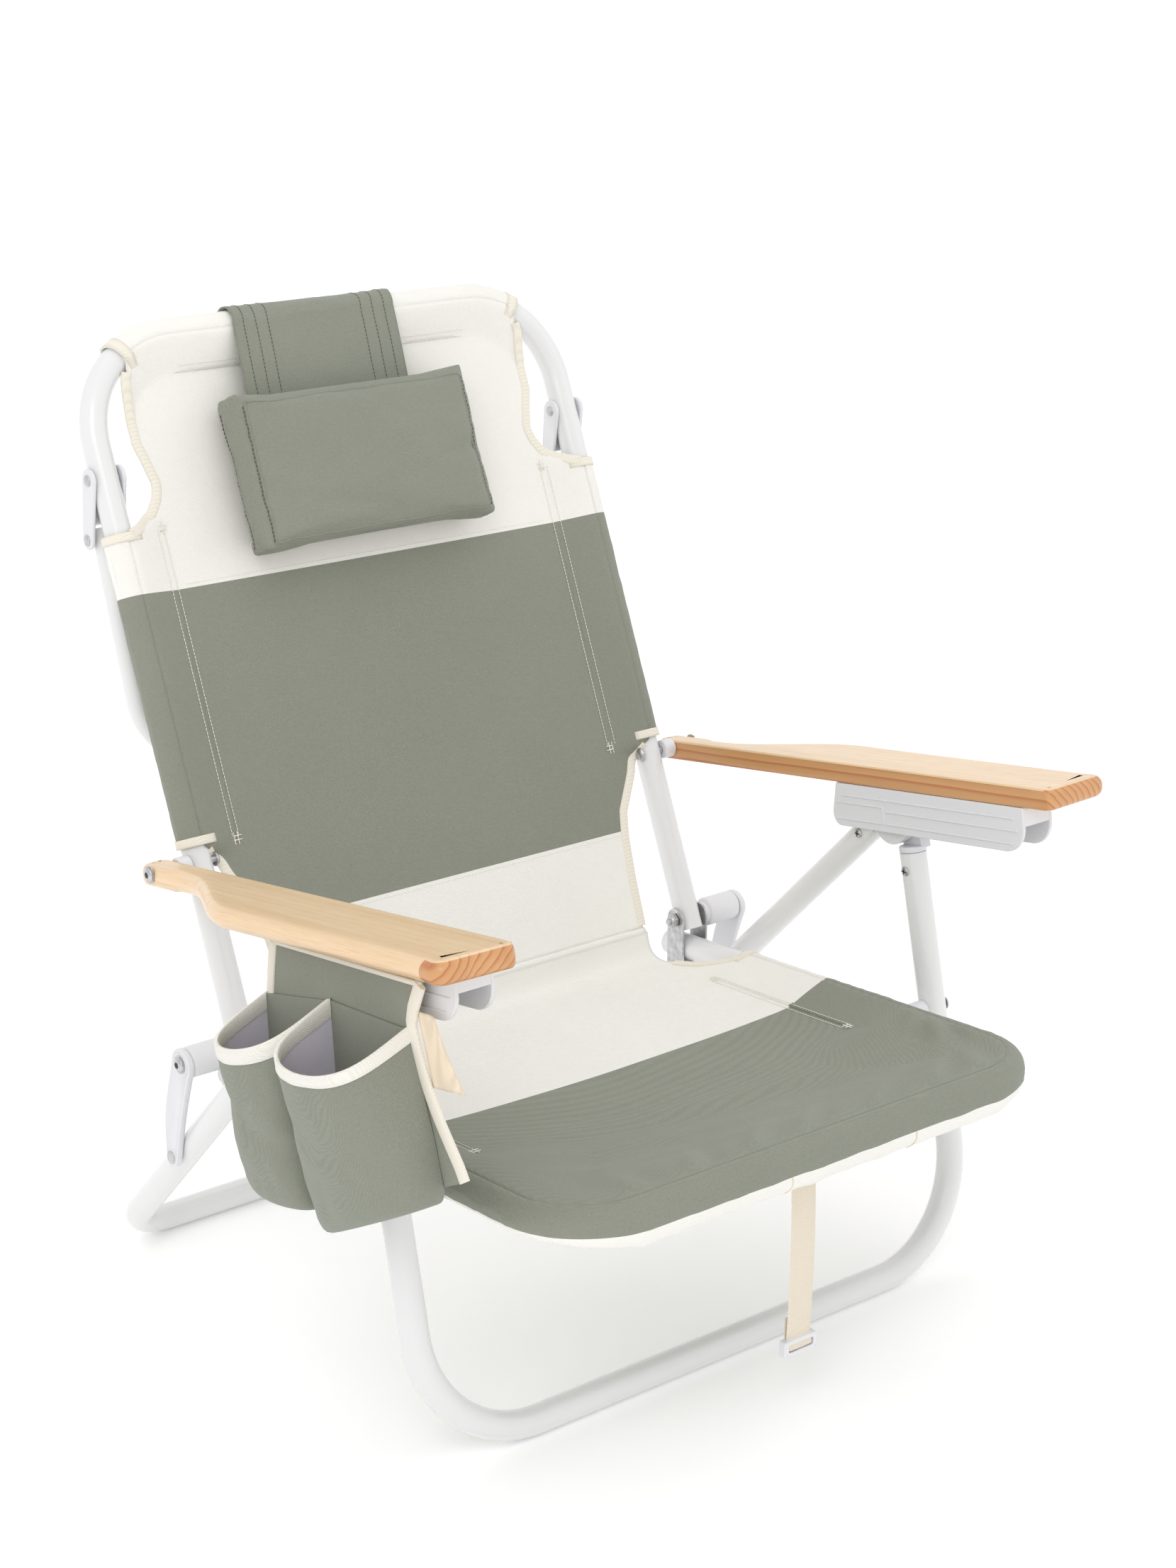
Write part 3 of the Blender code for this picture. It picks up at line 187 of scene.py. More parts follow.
def bump(nt, bsdf, height, strength, distance, normal=None):
    b = node(nt, "ShaderNodeBump")
    b.inputs["Strength"].default_value = strength
    b.inputs["Distance"].default_value = distance
    nt.links.new(height, b.inputs["Height"])
    if normal is not None:
        nt.links.new(normal, b.inputs["Normal"])
    nt.links.new(b.outputs["Normal"], bsdf.inputs["Normal"])
    return b.outputs["Normal"]


def shade(c, k):
    return (min(1, c[0] * k), min(1, c[1] * k), min(1, c[2] * k), 1.0)


def moulded(name, color, rough=0.34, grain=900.0, strength=0.12, coat=0.0, spread=0.03, wear=0.06):
    """Painted or moulded surface: faint tone drift, uneven gloss and a fine orange-peel bump."""
    m, nt, b = new_mat(name)
    v = coords(nt)
    big = node(nt, "ShaderNodeTexNoise", Scale=9.0, Detail=3.0)
    nt.links.new(v, big.inputs["Vector"])
    nt.links.new(ramp(nt, big.outputs["Fac"], [(0.3, shade(color, 1.0 - spread)), (0.7, shade(color, 1.0 + spread * 0.4))]),
                 b.inputs["Base Color"])
    rg = node(nt, "ShaderNodeTexNoise", Scale=46.0, Detail=4.0)
    nt.links.new(v, rg.inputs["Vector"])
    nt.links.new(ramp(nt, rg.outputs["Fac"], [(0.35, (rough - wear * 0.7,) * 3 + (1,)), (0.65, (rough + wear,) * 3 + (1,))]),
                 b.inputs["Roughness"])
    fine = node(nt, "ShaderNodeTexNoise", Scale=grain, Detail=2.0)
    nt.links.new(v, fine.inputs["Vector"])
    bump(nt, b, fine.outputs["Fac"], strength, 0.0002)
    if coat:
        b.inputs["Coat Weight"].default_value = coat
        b.inputs["Coat Roughness"].default_value = 0.18
    return m


def metal(name, color, rough=0.3):
    """Plated steel with fine turning marks and dull patches."""
    m, nt, b = new_mat(name)
    v = coords(nt)
    big = node(nt, "ShaderNodeTexNoise", Scale=150.0, Detail=4.0)
    nt.links.new(v, big.inputs["Vector"])
    nt.links.new(ramp(nt, big.outputs["Fac"], [(0.3, shade(color, 0.75)), (0.7, shade(color, 1.05))]), b.inputs["Base Color"])
    nt.links.new(ramp(nt, big.outputs["Fac"], [(0.3, (rough + 0.16,) * 3 + (1,)), (0.7, (rough,) * 3 + (1,))]),
                 b.inputs["Roughness"])
    sc = coords(nt, (300, 2400, 2400))
    scr = node(nt, "ShaderNodeTexNoise", Scale=1.0, Detail=2.0)
    nt.links.new(sc, scr.inputs["Vector"])
    bump(nt, b, scr.outputs["Fac"], 0.15, 0.0002)
    b.inputs["Metallic"].default_value = 1.0
    return m


def cloth(name, color, pitch=0.0009, tilt=0.0, mottle=0.10, rough=0.86, sheen=0.25, weave=0.5, tone=0.04, grainscale=900.0):
    """Plain woven cloth: crossed threads, a fine melange, broad tone drift and slight creases."""
    m, nt, b = new_mat(name)
    k = 1.0 / pitch
    v = coords(nt, (k, k, k), (tilt, 0, 0))
    w1 = node(nt, "ShaderNodeTexWave", wave_type="BANDS", bands_direction="X")
    w1.inputs["Scale"].default_value = 0.31416
    w1.inputs["Distortion"].default_value = 0.5
    w1.inputs["Detail"].default_value = 0.0
    nt.links.new(v, w1.inputs["Vector"])
    w2 = node(nt, "ShaderNodeTexWave", wave_type="BANDS", bands_direction="Z")
    w2.inputs["Scale"].default_value = 0.31416
    w2.inputs["Distortion"].default_value = 0.5
    w2.inputs["Detail"].default_value = 0.0
    nt.links.new(v, w2.inputs["Vector"])
    mx = node(nt, "ShaderNodeMath", operation="MAXIMUM")
    nt.links.new(w1.outputs["Fac"], mx.inputs[0])
    nt.links.new(w2.outputs["Fac"], mx.inputs[1])
    vo = coords(nt)
    fine = node(nt, "ShaderNodeTexNoise", Scale=grainscale, Detail=3.0)
    nt.links.new(vo, fine.inputs["Vector"])
    broad = node(nt, "ShaderNodeTexNoise", Scale=11.0, Detail=4.0)
    nt.links.new(vo, broad.inputs["Vector"])
    c_f = ramp(nt, fine.outputs["Fac"], [(0.25, shade(color, 1.0 - mottle)), (0.75, shade(color, 1.0 + mottle))])
    c_b = ramp(nt, broad.outputs["Fac"], [(0.3, (1 - tone, 1 - tone, 1 - tone, 1)), (0.7, (1, 1, 1, 1))])
    mul = node(nt, "ShaderNodeMix", data_type="RGBA", blend_type="MULTIPLY")
    mul.inputs["Factor"].default_value = 1.0
    nt.links.new(c_f, mul.inputs["A"])
    nt.links.new(c_b, mul.inputs["B"])
    c_w = ramp(nt, mx.outputs["Value"], [(0.0, (0.86, 0.86, 0.86, 1)), (0.6, (1, 1, 1, 1))])
    mul2 = node(nt, "ShaderNodeMix", data_type="RGBA", blend_type="MULTIPLY")
    mul2.inputs["Factor"].default_value = 1.0
    nt.links.new(mul.outputs["Result"], mul2.inputs["A"])
    nt.links.new(c_w, mul2.inputs["B"])
    nt.links.new(mul2.outputs["Result"], b.inputs["Base Color"])
    crease = node(nt, "ShaderNodeTexNoise", Scale=34.0, Detail=5.0, Distortion=0.6)
    nt.links.new(vo, crease.inputs["Vector"])
    n1 = bump(nt, b, crease.outputs["Fac"], 0.18, 0.004)
    bump(nt, b, mx.outputs["Value"], weave, 0.0003, n1)
    b.inputs["Roughness"].default_value = rough
    b.inputs["Sheen Weight"].default_value = sheen
    b.inputs["Sheen Roughness"].default_value = 0.5
    b.inputs["Specular IOR Level"].default_value = 0.25
    return m


def wood(name, pale, mid, dark):
    """Varnished pale hardwood: long grain along the arm, growth bands, pores; redder on the sides and ends."""
    m, nt, b = new_mat(name)
    v = coords(nt, (1, 1, 1), (ARM_SLOPE, 0, 0))
    st = node(nt, "ShaderNodeMapping")
    st.inputs["Scale"].default_value = (46, 2.6, 46)
    nt.links.new(v, st.inputs["Vector"])
    warp = node(nt, "ShaderNodeTexNoise", Scale=1.1, Detail=4.0, Distortion=0.9)
    nt.links.new(st.outputs["Vector"], warp.inputs["Vector"])
    rings = node(nt, "ShaderNodeTexWave", wave_type="RINGS", rings_direction="Y", wave_profile="SAW")
    rings.inputs["Scale"].default_value = 0.9
    rings.inputs["Distortion"].default_value = 5.0
    rings.inputs["Detail"].default_value = 3.0
    rings.inputs["Detail Scale"].default_value = 0.7
    off = node(nt, "ShaderNodeMapping")
    off.inputs["Scale"].default_value = (60, 3.2, 60)
    off.inputs["Location"].default_value = (3.0, 0.0, -9.0)
    nt.links.new(v, off.inputs["Vector"])
    nt.links.new(off.outputs["Vector"], rings.inputs["Vector"])
    c1 = ramp(nt, rings.outputs["Fac"], [(0.0, pale), (0.8, shade(pale, 0.95)), (0.97, shade(pale, 0.88)), (1.0, pale)])
    fib = node(nt, "ShaderNodeMapping")
    fib.inputs["Scale"].default_value = (1500, 34, 1500)
    nt.links.new(v, fib.inputs["Vector"])
    pores = node(nt, "ShaderNodeTexNoise", Scale=1.0, Detail=3.0)
    nt.links.new(fib.outputs["Vector"], pores.inputs["Vector"])
    c2 = ramp(nt, pores.outputs["Fac"], [(0.25, (0.80, 0.74, 0.66, 1)), (0.5, (1, 1, 1, 1))])
    c3 = ramp(nt, warp.outputs["Fac"], [(0.3, (0.90, 0.84, 0.76, 1)), (0.65, (1, 1, 1, 1))])
    m1 = node(nt, "ShaderNodeMix", data_type="RGBA", blend_type="MULTIPLY")
    m1.inputs["Factor"].default_value = 0.7
    nt.links.new(c1, m1.inputs["A"])
    nt.links.new(c2, m1.inputs["B"])
    m2 = node(nt, "ShaderNodeMix", data_type="RGBA", blend_type="MULTIPLY")
    m2.inputs["Factor"].default_value = 0.8
    nt.links.new(m1.outputs["Result"], m2.inputs["A"])
    nt.links.new(c3, m2.inputs["B"])
    c4 = ramp(nt, rings.outputs["Fac"], [(0.0, mid), (0.6, shade(mid, 0.90)), (0.92, shade(dark, 1.35)), (1.0, mid)])
    m3 = node(nt, "ShaderNodeMix", data_type="RGBA", blend_type="MULTIPLY")
    m3.inputs["Factor"].default_value = 0.8
    nt.links.new(c4, m3.inputs["A"])
    nt.links.new(c3, m3.inputs["B"])
    nt.links.new(m2.outputs["Result"] if name == "wood_top" else m3.outputs["Result"], b.inputs["Base Color"])
    nt.links.new(ramp(nt, pores.outputs["Fac"], [(0.3, (0.42,) * 3 + (1,)), (0.6, (0.3,) * 3 + (1,))]), b.inputs["Roughness"])
    bump(nt, b, pores.outputs["Fac"], 0.12, 0.0002)
    b.inputs["Coat Weight"].default_value = 0.35
    b.inputs["Coat Roughness"].default_value = 0.2
    return m


def ribbed(name, color, pitch=0.0016, direction="Y", depth=0.5, rough=0.8):
    """Webbing or tape: ribs one way, threads the other, colour a little darker along the rib pattern."""
    m, nt, b = new_mat(name)
    k = 1.0 / pitch
    v = coords(nt, (k, k, k))
    w = node(nt, "ShaderNodeTexWave", wave_type="BANDS", bands_direction=direction)
    w.inputs["Scale"].default_value = 0.31416
    w.inputs["Distortion"].default_value = 0.3
    nt.links.new(v, w.inputs["Vector"])
    w2 = node(nt, "ShaderNodeTexWave", wave_type="BANDS", bands_direction="DIAGONAL")
    w2.inputs["Scale"].default_value = 0.5
    w2.inputs["Distortion"].default_value = 0.3
    nt.links.new(v, w2.inputs["Vector"])
    add = node(nt, "ShaderNodeMath", operation="ADD")
    nt.links.new(w.outputs["Fac"], add.inputs[0])
    half = node(nt, "ShaderNodeMath", operation="MULTIPLY")
    half.inputs[1].default_value = 0.5
    nt.links.new(w2.outputs["Fac"], half.inputs[0])
    nt.links.new(half.outputs["Value"], add.inputs[1])
    nt.links.new(ramp(nt, add.outputs["Value"], [(0.0, shade(color, 0.88)), (0.8, color)]), b.inputs["Base Color"])
    bump(nt, b, add.outputs["Value"], depth, 0.0004)
    b.inputs["Roughness"].default_value = rough
    b.inputs["Sheen Weight"].default_value = 0.2
    return m


M_PAINT = moulded("frame_paint", srgb(226, 226, 226), 0.24, 240.0, 0.006, coat=0.5, spread=0.006, wear=0.012)
M_PLASTIC = moulded("white_plastic_v", srgb(224, 224, 227), 0.38, 420.0, 0.03, spread=0.010, wear=0.03)
M_ZINC = metal("zinc_v", (0.60, 0.60, 0.61, 1), 0.28)
# dark grey for the bolt drive recesses and the drilled hole: painted shade, since the recesses and the hole are not cut
# into the parts
M_RECESS_SHADE = moulded("painted_recess_shade", srgb(38, 37, 38), 0.6, 500.0, 0.1)
M_GREEN = cloth("green_cloth", srgb(141, 144, 131), 0.0009, 0.0, 0.10, sheen=0.15)
M_GREEN_BACK = cloth("green_cloth_back", srgb(141, 144, 131), 0.0009, LEAN, 0.10, sheen=0.15)
M_WHITE = cloth("white_cloth", srgb(244, 242, 236), 0.0009, LEAN, 0.03, sheen=0.1, tone=0.03)
M_LINING = cloth("lining_cloth", srgb(222, 219, 232), 0.0007, 0.0, 0.03, sheen=0.1)
M_BINDING = ribbed("cream_binding", srgb(236, 230, 216), 0.0013, "Y", 0.18)
M_RIM = ribbed("rim_webbing", srgb(240, 238, 230), 0.0013, "Z", 0.55)
M_STRAP = ribbed("strap_webbing", srgb(233, 222, 203), 0.0014, "Z", 0.55)
M_RIBSTRIP = ribbed("rib_strip", srgb(214, 190, 158), 0.0022, "Y", 0.8)
M_TAB = cloth("tab_cloth", srgb(241, 224, 198), 0.0006, 0.0, 0.03)
M_THREAD = moulded("thread_cream", srgb(236, 233, 222), 0.7, 3000.0, 0.3)
M_THREAD_D = moulded("thread_dark", srgb(84, 84, 74), 0.7, 3000.0, 0.3)
M_THREAD_T = moulded("thread_tan", srgb(226, 205, 178), 0.7, 3000.0, 0.3)
PALE, MID, DARKW = srgb(239, 209, 170), srgb(214, 160, 106), srgb(165, 98, 56)
M_WOOD = wood("wood_top", PALE, MID, DARKW)
M_WOOD_S = wood("wood_side", PALE, MID, DARKW)

# --------------------------------------------------------------------------
# mesh building
# --------------------------------------------------------------------------


class Mesh:
    def __init__(self):
        self.v, self.f, self.m = [], [], []

    def grid(self, rows, closed=False, mat=0, flip=False, pick=None, skip=None):
        """Rows of points joined into quads. closed joins the last column to the first."""
        base = len(self.v)
        n = len(rows[0])
        for r in rows:
            self.v += [tuple(p) for p in r]
        cols = n if closed else n - 1
        for i in range(len(rows) - 1):
            for j in range(cols):
                k = (j + 1) % n
                q = (base + i * n + j, base + i * n + k, base + (i + 1) * n + k, base + (i + 1) * n + j)
                if skip is not None and skip(i, j):
                    continue
                self.f.append(q[::-1] if flip else q)
                self.m.append(pick(i, j) if pick is not None else mat)
        return base

    def cap(self, ring, mat=0):
        base = len(self.v)
        self.v += [tuple(p) for p in ring]
        self.f.append(tuple(range(base, base + len(ring))))
        self.m.append(mat)

    def capsule(self, a, b, r, mat=0, sides=6):
        a, b = Vector(a), Vector(b)
        d = (b - a)
        if d.length < 1e-7:
            return
        d.normalize()
        s = d.orthogonal().normalized()
        t = d.cross(s)
        rows = []
        for c, k in ((a - d * r * 0.7, 0.35), (a, 1.0), ((a + b) / 2, 1.15), (b, 1.0), (b + d * r * 0.7, 0.35)):
            rows.append([c + (s * math.cos(2 * math.pi * j / sides) + t * math.sin(2 * math.pi * j / sides)) * r * k
                         for j in range(sides)])
        self.grid(rows, closed=True, mat=mat)
        self.cap(rows[0][::-1], mat)
        self.cap(rows[-1], mat)


def make(name, mesh, mats, body, nodes=(), solid=0.0, sub=0, bevel=0.0, angle=40.0, weld=True, offset=0.0):
    me = bpy.data.meshes.new(name)
    me.from_pydata(mesh.v, [], mesh.f)
    for mt in mats:
        me.materials.append(mt)
    me.polygons.foreach_set("material_index", mesh.m)
    bm = bmesh.new()
    bm.from_mesh(me)
    if weld:
        bmesh.ops.remove_doubles(bm, verts=bm.verts, dist=2e-6)
    bmesh.ops.recalc_face_normals(bm, faces=bm.faces)
    bm.to_mesh(me)
    bm.free()
    me.shade_smooth()
    if angle:
        me.set_sharp_from_angle(angle=math.radians(angle))
    ob = bpy.data.objects.new(name, me)
    bpy.context.scene.collection.objects.link(ob)
    if solid:
        s = ob.modifiers.new("thickness", "SOLIDIFY")
        s.thickness = solid
        s.offset = offset
    if bevel:
        bv = ob.modifiers.new("edge", "BEVEL")
        bv.width = bevel
        bv.segments = 2
        bv.limit_method = "ANGLE"
        bv.angle_limit = math.radians(40)
    if sub:
        ss = ob.modifiers.new("smooth", "SUBSURF")
        ss.levels = ss.render_levels = sub
    if body:
        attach(ob, body)
    if nodes:
        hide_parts(*nodes)
    return ob


def tube_rows(path, normal, radius, sides=32):
    pts = [Vector(p) for p in path]
    nrm = Vector(normal).normalized()
    rows = []
    for i, p in enumerate(pts):
        a = (pts[i] - pts[i - 1]).normalized() if i else (pts[1] - pts[0]).normalized()
        b = (pts[i + 1] - pts[i]).normalized() if i < len(pts) - 1 else a
        t = (a + b).normalized()
        side = nrm.cross(t).normalized()
        k = 1.0 / max(0.6, math.cos(a.angle(b, 0.0) / 2.0))
        rows.append([p + side * (radius * k * math.cos(2 * math.pi * j / sides)) + nrm * (radius * math.sin(2 * math.pi * j / sides))
                     for j in range(sides)])
    return rows


def u_path(half, end, bar, corner, steps=22, straight=6):
    e, b = Vector((0, end[0], end[1])), Vector((0, bar[0], bar[1]))
    d = e - b
    ln = d.length
    d.normalize()
    pts = [(-half, ln + (corner - ln) * k / straight) for k in range(straight)]
    for k in range(steps + 1):
        a = 0.5 * math.pi * k / steps
        pts.append((-half + corner - corner * math.cos(a), corner - corner * math.sin(a)))
    for k in range(1, straight):
        pts.append((-half + corner + (2 * half - 2 * corner) * k / straight, 0.0))
    for k in range(steps + 1):
        a = 0.5 * math.pi * k / steps
        pts.append((half - corner + corner * math.sin(a), corner - corner * math.cos(a)))
    pts += [(half, corner + (ln - corner) * (k + 1) / straight) for k in range(straight)]
    return [O + b + Vector((x, 0, 0)) + d * s for x, s in pts], XV.cross(d)


def tube(name, path, normal, radius, body, nodes, wall=WALL, sides=32):
    m = Mesh()
    outer = tube_rows(path, normal, radius, sides)
    inner = tube_rows(path, normal, radius - wall, sides)
    m.grid(outer, closed=True)
    m.grid([outer[0], inner[0]], closed=True)
    m.grid([outer[-1], inner[-1]], closed=True)
    # the bore is only seen at the two ends
    for ends, deep in ((inner[:3], 2), (inner[-3:][::-1], 2)):
        m.grid(ends, closed=True)
        m.cap(ends[deep])
    return make(name, m, [M_PAINT], body, nodes)


def revolve(m, centre, prof, sides=32, mat=0):
    """Turned about an X axis; prof is (x, r) from end to end."""
    y, z = centre
    rows = []
    for x, r in prof:
        rows.append([G(x, y + max(r, 1e-5) * math.cos(2 * math.pi * j / sides), z + max(r, 1e-5) * math.sin(2 * math.pi * j / sides))
                     for j in range(sides)])
    m.grid(rows, closed=True, mat=mat)
    m.cap(rows[0][::-1], mat)
    m.cap(rows[-1], mat)


def dome_head(m, centre, x, sx, r, h, mat=0, drive="hex", recess_shade_mat=1):
    """A domed bolt head standing on the plane x, towards sx; its driving recess is not cut but drawn as a dark hex or
    cross on top: painted shade.
    """
    prof = [(x, r * 0.97), (x + sx * h * 0.12, r)]
    for k in range(1, 8):
        a = math.radians(90 * k / 8)
        prof.append((x + sx * h * (0.12 + 0.88 * math.sin(a)), r * math.cos(a) ** 0.75))
    prof.append((x + sx * h, r * 0.10))
    revolve(m, centre, prof, 32, mat)
    y, z = centre
    # hex recess: a shallow dark prism capped flush with the dome, painted shade standing in for the socket
    if drive == "hex":
        ring0 = [G(x + sx * (h + 0.00006), y + r * 0.42 * math.cos(math.radians(60 * k)), z + r * 0.42 * math.sin(math.radians(60 * k))) for k in range(6)]
        ring1 = [G(x + sx * (h * 0.80), y + r * 0.42 * math.cos(math.radians(60 * k)), z + r * 0.42 * math.sin(math.radians(60 * k))) for k in range(6)]
        m.grid([ring1, ring0], closed=True, mat=recess_shade_mat)
        m.cap(ring0, recess_shade_mat)
        m.cap(ring1, recess_shade_mat)
    # cross recess: dark slabs standing on the dome top, painted shade standing in for the slots
    if drive == "cross":
        for c, s in ((1, 0), (0, 1)):
            a, b = r * 0.62, r * 0.14
            pts = [(-a, -b), (a, -b), (a, b), (-a, b)]
            rows = []
            for xx in (x + sx * h * 0.7, x + sx * (h + 0.00008)):
                rows.append([G(xx, y + (p * c - q * s), z + (p * s + q * c)) for p, q in pts])
            m.grid(rows, closed=True, mat=recess_shade_mat)
            m.cap(rows[0], recess_shade_mat)
            m.cap(rows[1], recess_shade_mat)


def plate(m, outline, x0, x1, mat=0):
    """A flat plate of (y, z) points between two X values."""
    rows = [[G(x, y, z) for y, z in outline] for x in (x0, x1)]
    m.grid(rows, closed=True, mat=mat)
    m.cap(rows[0], mat)
    m.cap(rows[1], mat)


def stitches(m, path, normal, pitch=0.0032, length=0.0022, r=0.00032, mat=0, lift=0.0002):
    """A row of thread stitches along a polyline that lies on the cloth."""
    pts = [Vector(p) for p in path]
    seg = [(pts[i + 1] - pts[i]).length for i in range(len(pts) - 1)]
    total = sum(seg)
    nrm = Vector(normal)

    def at(s):
        for i, l in enumerate(seg):
            if s <= l or i == len(seg) - 1:
                return pts[i].lerp(pts[i + 1], min(1.0, s / max(l, 1e-9)))
            s -= l

    s = 0.0005
    while s + length < total:
        a, b = at(s) + nrm * lift, at(s + length) + nrm * lift
        m.capsule(a, b, r, mat, 5)
        s += pitch


def bartack(m, centre, e1, e2, nrm, mat=0, size=0.0052):
    """A small cross-hatched tack that locks a sleeve seam."""
    c, a, b, n = Vector(centre), Vector(e1), Vector(e2), Vector(nrm) * 0.0003
    for k in (-1, 1):
        m.capsule(c + a * (size * 0.34 * k) - b * size + n, c + a * (size * 0.34 * k) + b * size + n, 0.0004, mat, 5)
        m.capsule(c + b * (size * 0.34 * k) - a * size + n * 1.4, c + b * (size * 0.34 * k) + a * size + n * 1.4, 0.0004, mat, 5)


def ribbon(m, path, normals, width, thick, mat=0, sides=12):
    """A flat tape with rounded edges along a path; normals point out of its flat face."""
    pts = [Vector(p) for p in path]
    rows = []
    for i, p in enumerate(pts):
        a = pts[max(0, i - 1)]
        b = pts[min(len(pts) - 1, i + 1)]
        t = (b - a).normalized()
        n = Vector(normals[i] if isinstance(normals, list) else normals)
        s = n.cross(t).normalized()
        n2 = t.cross(s).normalized()
        row = []
        for j in range(sides):
            ang = 2 * math.pi * j / sides
            cx, cy = math.cos(ang), math.sin(ang)
            px = math.copysign(abs(cx) ** 0.45, cx) * width / 2
            py = math.copysign(abs(cy) ** 0.8, cy) * thick / 2
            row.append(p + s * px + n2 * py)
        rows.append(row)
    m.grid(rows, closed=True, mat=mat)
    m.cap(rows[0][::-1], mat)
    m.cap(rows[-1], mat)


def lerp_knots(knots, t):
    if t <= knots[0][0]:
        return knots[0][1]
    for (a, x), (b, y) in zip(knots, knots[1:]):
        if t <= b:
            k = (t - a) / (b - a)
            return x + (y - x) * k
    return knots[-1][1]


# --------------------------------------------------------------------------
# closing strap with its buckle: the one free cord
# --------------------------------------------------------------------------
SX, SY, S_TOP, S_LOW, S_W, S_T = 0.0030, 0.0375, 0.2286, 0.0610, 0.0250, 0.0014
strap_path = []
for k in range(25):
    t = k / 24
    strap_path.append(G(SX, SY + S_T / 2 - 0.0026 * math.sin(math.pi * t), S_TOP + (S_LOW + 0.0005 - S_TOP) * t))
m = Mesh()
ribbon(m, strap_path, Vector((0, -1, 0)), S_W, S_T, sides=16)
strap = make("closing_strap_web", m, [M_STRAP], "seat", ["closing_strap"])

m = Mesh()


def ring_block(m, cx, cz, y0, y1, w, h, iw, ih, rr, mat=0):
    """A rounded rectangular loop, seen along Y."""
    def rect(a, b, r):
        pts = []
        for qx, qz, a0 in ((1, 1, 0), (-1, 1, 90), (-1, -1, 180), (1, -1, 270)):
            for k in range(5):
                t = math.radians(a0 + 22.5 * k)
                pts.append((cx + qx * (a - r) + r * math.cos(t), cz + qz * (b - r) + r * math.sin(t)))
        return pts
    o, i = rect(w, h, rr), rect(iw, ih, min(rr, ih * 0.6))
    e = 0.0006
    o2 = rect(w - e, h - e, rr)
    rows = [[G(x, y0, z) for x, z in i], [G(x, y0, z) for x, z in o2], [G(x, y0 + e, z) for x, z in o],
            [G(x, y1 - e, z) for x, z in o], [G(x, y1, z) for x, z in o2], [G(x, y1, z) for x, z in i], [G(x, y0, z) for x, z in i]]
    m.grid(rows, closed=True, mat=mat)


bz = S_LOW - 0.0068
ring_block(m, SX, bz, SY - 0.0032, SY + 0.0042, 0.0172, 0.0066, 0.0128, 0.0034, 0.0018)
m.capsule(G(SX - 0.0150, SY + 0.0005, bz), G(SX + 0.0150, SY + 0.0005, bz), 0.0011, 0, 10)
buckle = make("strap_buckle_frame", m, [M_PLASTIC], "seat", ["strap_buckle"])
m = Mesh()
tail = [G(SX, SY + 0.0005, S_LOW + 0.0006), G(SX, SY - 0.0022, bz + 0.0028), G(SX, SY - 0.0020, bz - 0.0020), G(SX, SY + 0.0012, bz - 0.0030),
        G(SX, SY + 0.0032, bz + 0.0005), G(SX, SY + 0.0034, S_LOW + 0.0080), G(SX, SY + 0.0032, S_LOW + 0.0180)]
ribbon(m, tail, Vector((0, -1, 0)), S_W * 0.96, 0.0012, sides=12)
strap_tail = make("strap_tail", m, [M_STRAP], "seat", (), sub=0)

# --------------------------------------------------------------------------
# tubes
# --------------------------------------------------------------------------
p, n = u_path(HB, (SEAT_REAR_Y, seat_z(SEAT_REAR_Y)), (SEAT_FRONT_Y, seat_z(SEAT_FRONT_Y)), SEAT_R)
tube("seat_tube", p, n, TUBE_R, "seat", ["seat_frame"])
e = (HINGE[0] - BU.y * 0.0110, HINGE[1] - BU.z * 0.0110)
t_ = (HINGE[0] + BU.y * BACK_LEN, HINGE[1] + BU.z * BACK_LEN)
p, n = u_path(HB, e, t_, BACK_R)
tube("back_tube", p, n, TUBE_R, "back", ["back_frame"])
p, n = u_path(HL, FRONT_TOP, FRONT_FOOT, FRONT_R)
tube("front_leg_tube", p, n, TUBE_R - 0.0001, "front_leg", ["front_leg"])
p, n = u_path(HL, REAR_TOP, REAR_FOOT, REAR_R)
tube("rear_leg_tube", p, n, TUBE_R - 0.0001, "rear_leg", ["rear_leg"])
tp = (HINGE[0] + BU.y * 0.4360 + BN.y * -0.0250, HINGE[1] + BU.z * 0.4360 + BN.z * -0.0250)
te = (HINGE[0] + BU.y * 0.2480 + BN.y * -0.0400, HINGE[1] + BU.z * 0.2480 + BN.z * -0.0400)
td = (Vector(tp) - Vector(te)).normalized()
p, n = u_path(HB, tuple(Vector(tp) + td * 0.0085), te, 0.050)
tube("towel_tube", p, n, 0.0095, "towel_bar", ["towel_bar"], 0.001)

# drilled drain hole near the right front bend, drawn as a capped dark cylinder: painted shade of the hole
m = Mesh()
revolve(m, (0.1560, 0.1190), [(HL - TUBE_R - 0.00012, 0.0019), (HL - TUBE_R + 0.002, 0.0019)], 16, 0)
make("front_leg_hole_shade", m, [M_RECESS_SHADE], "front_leg", ())

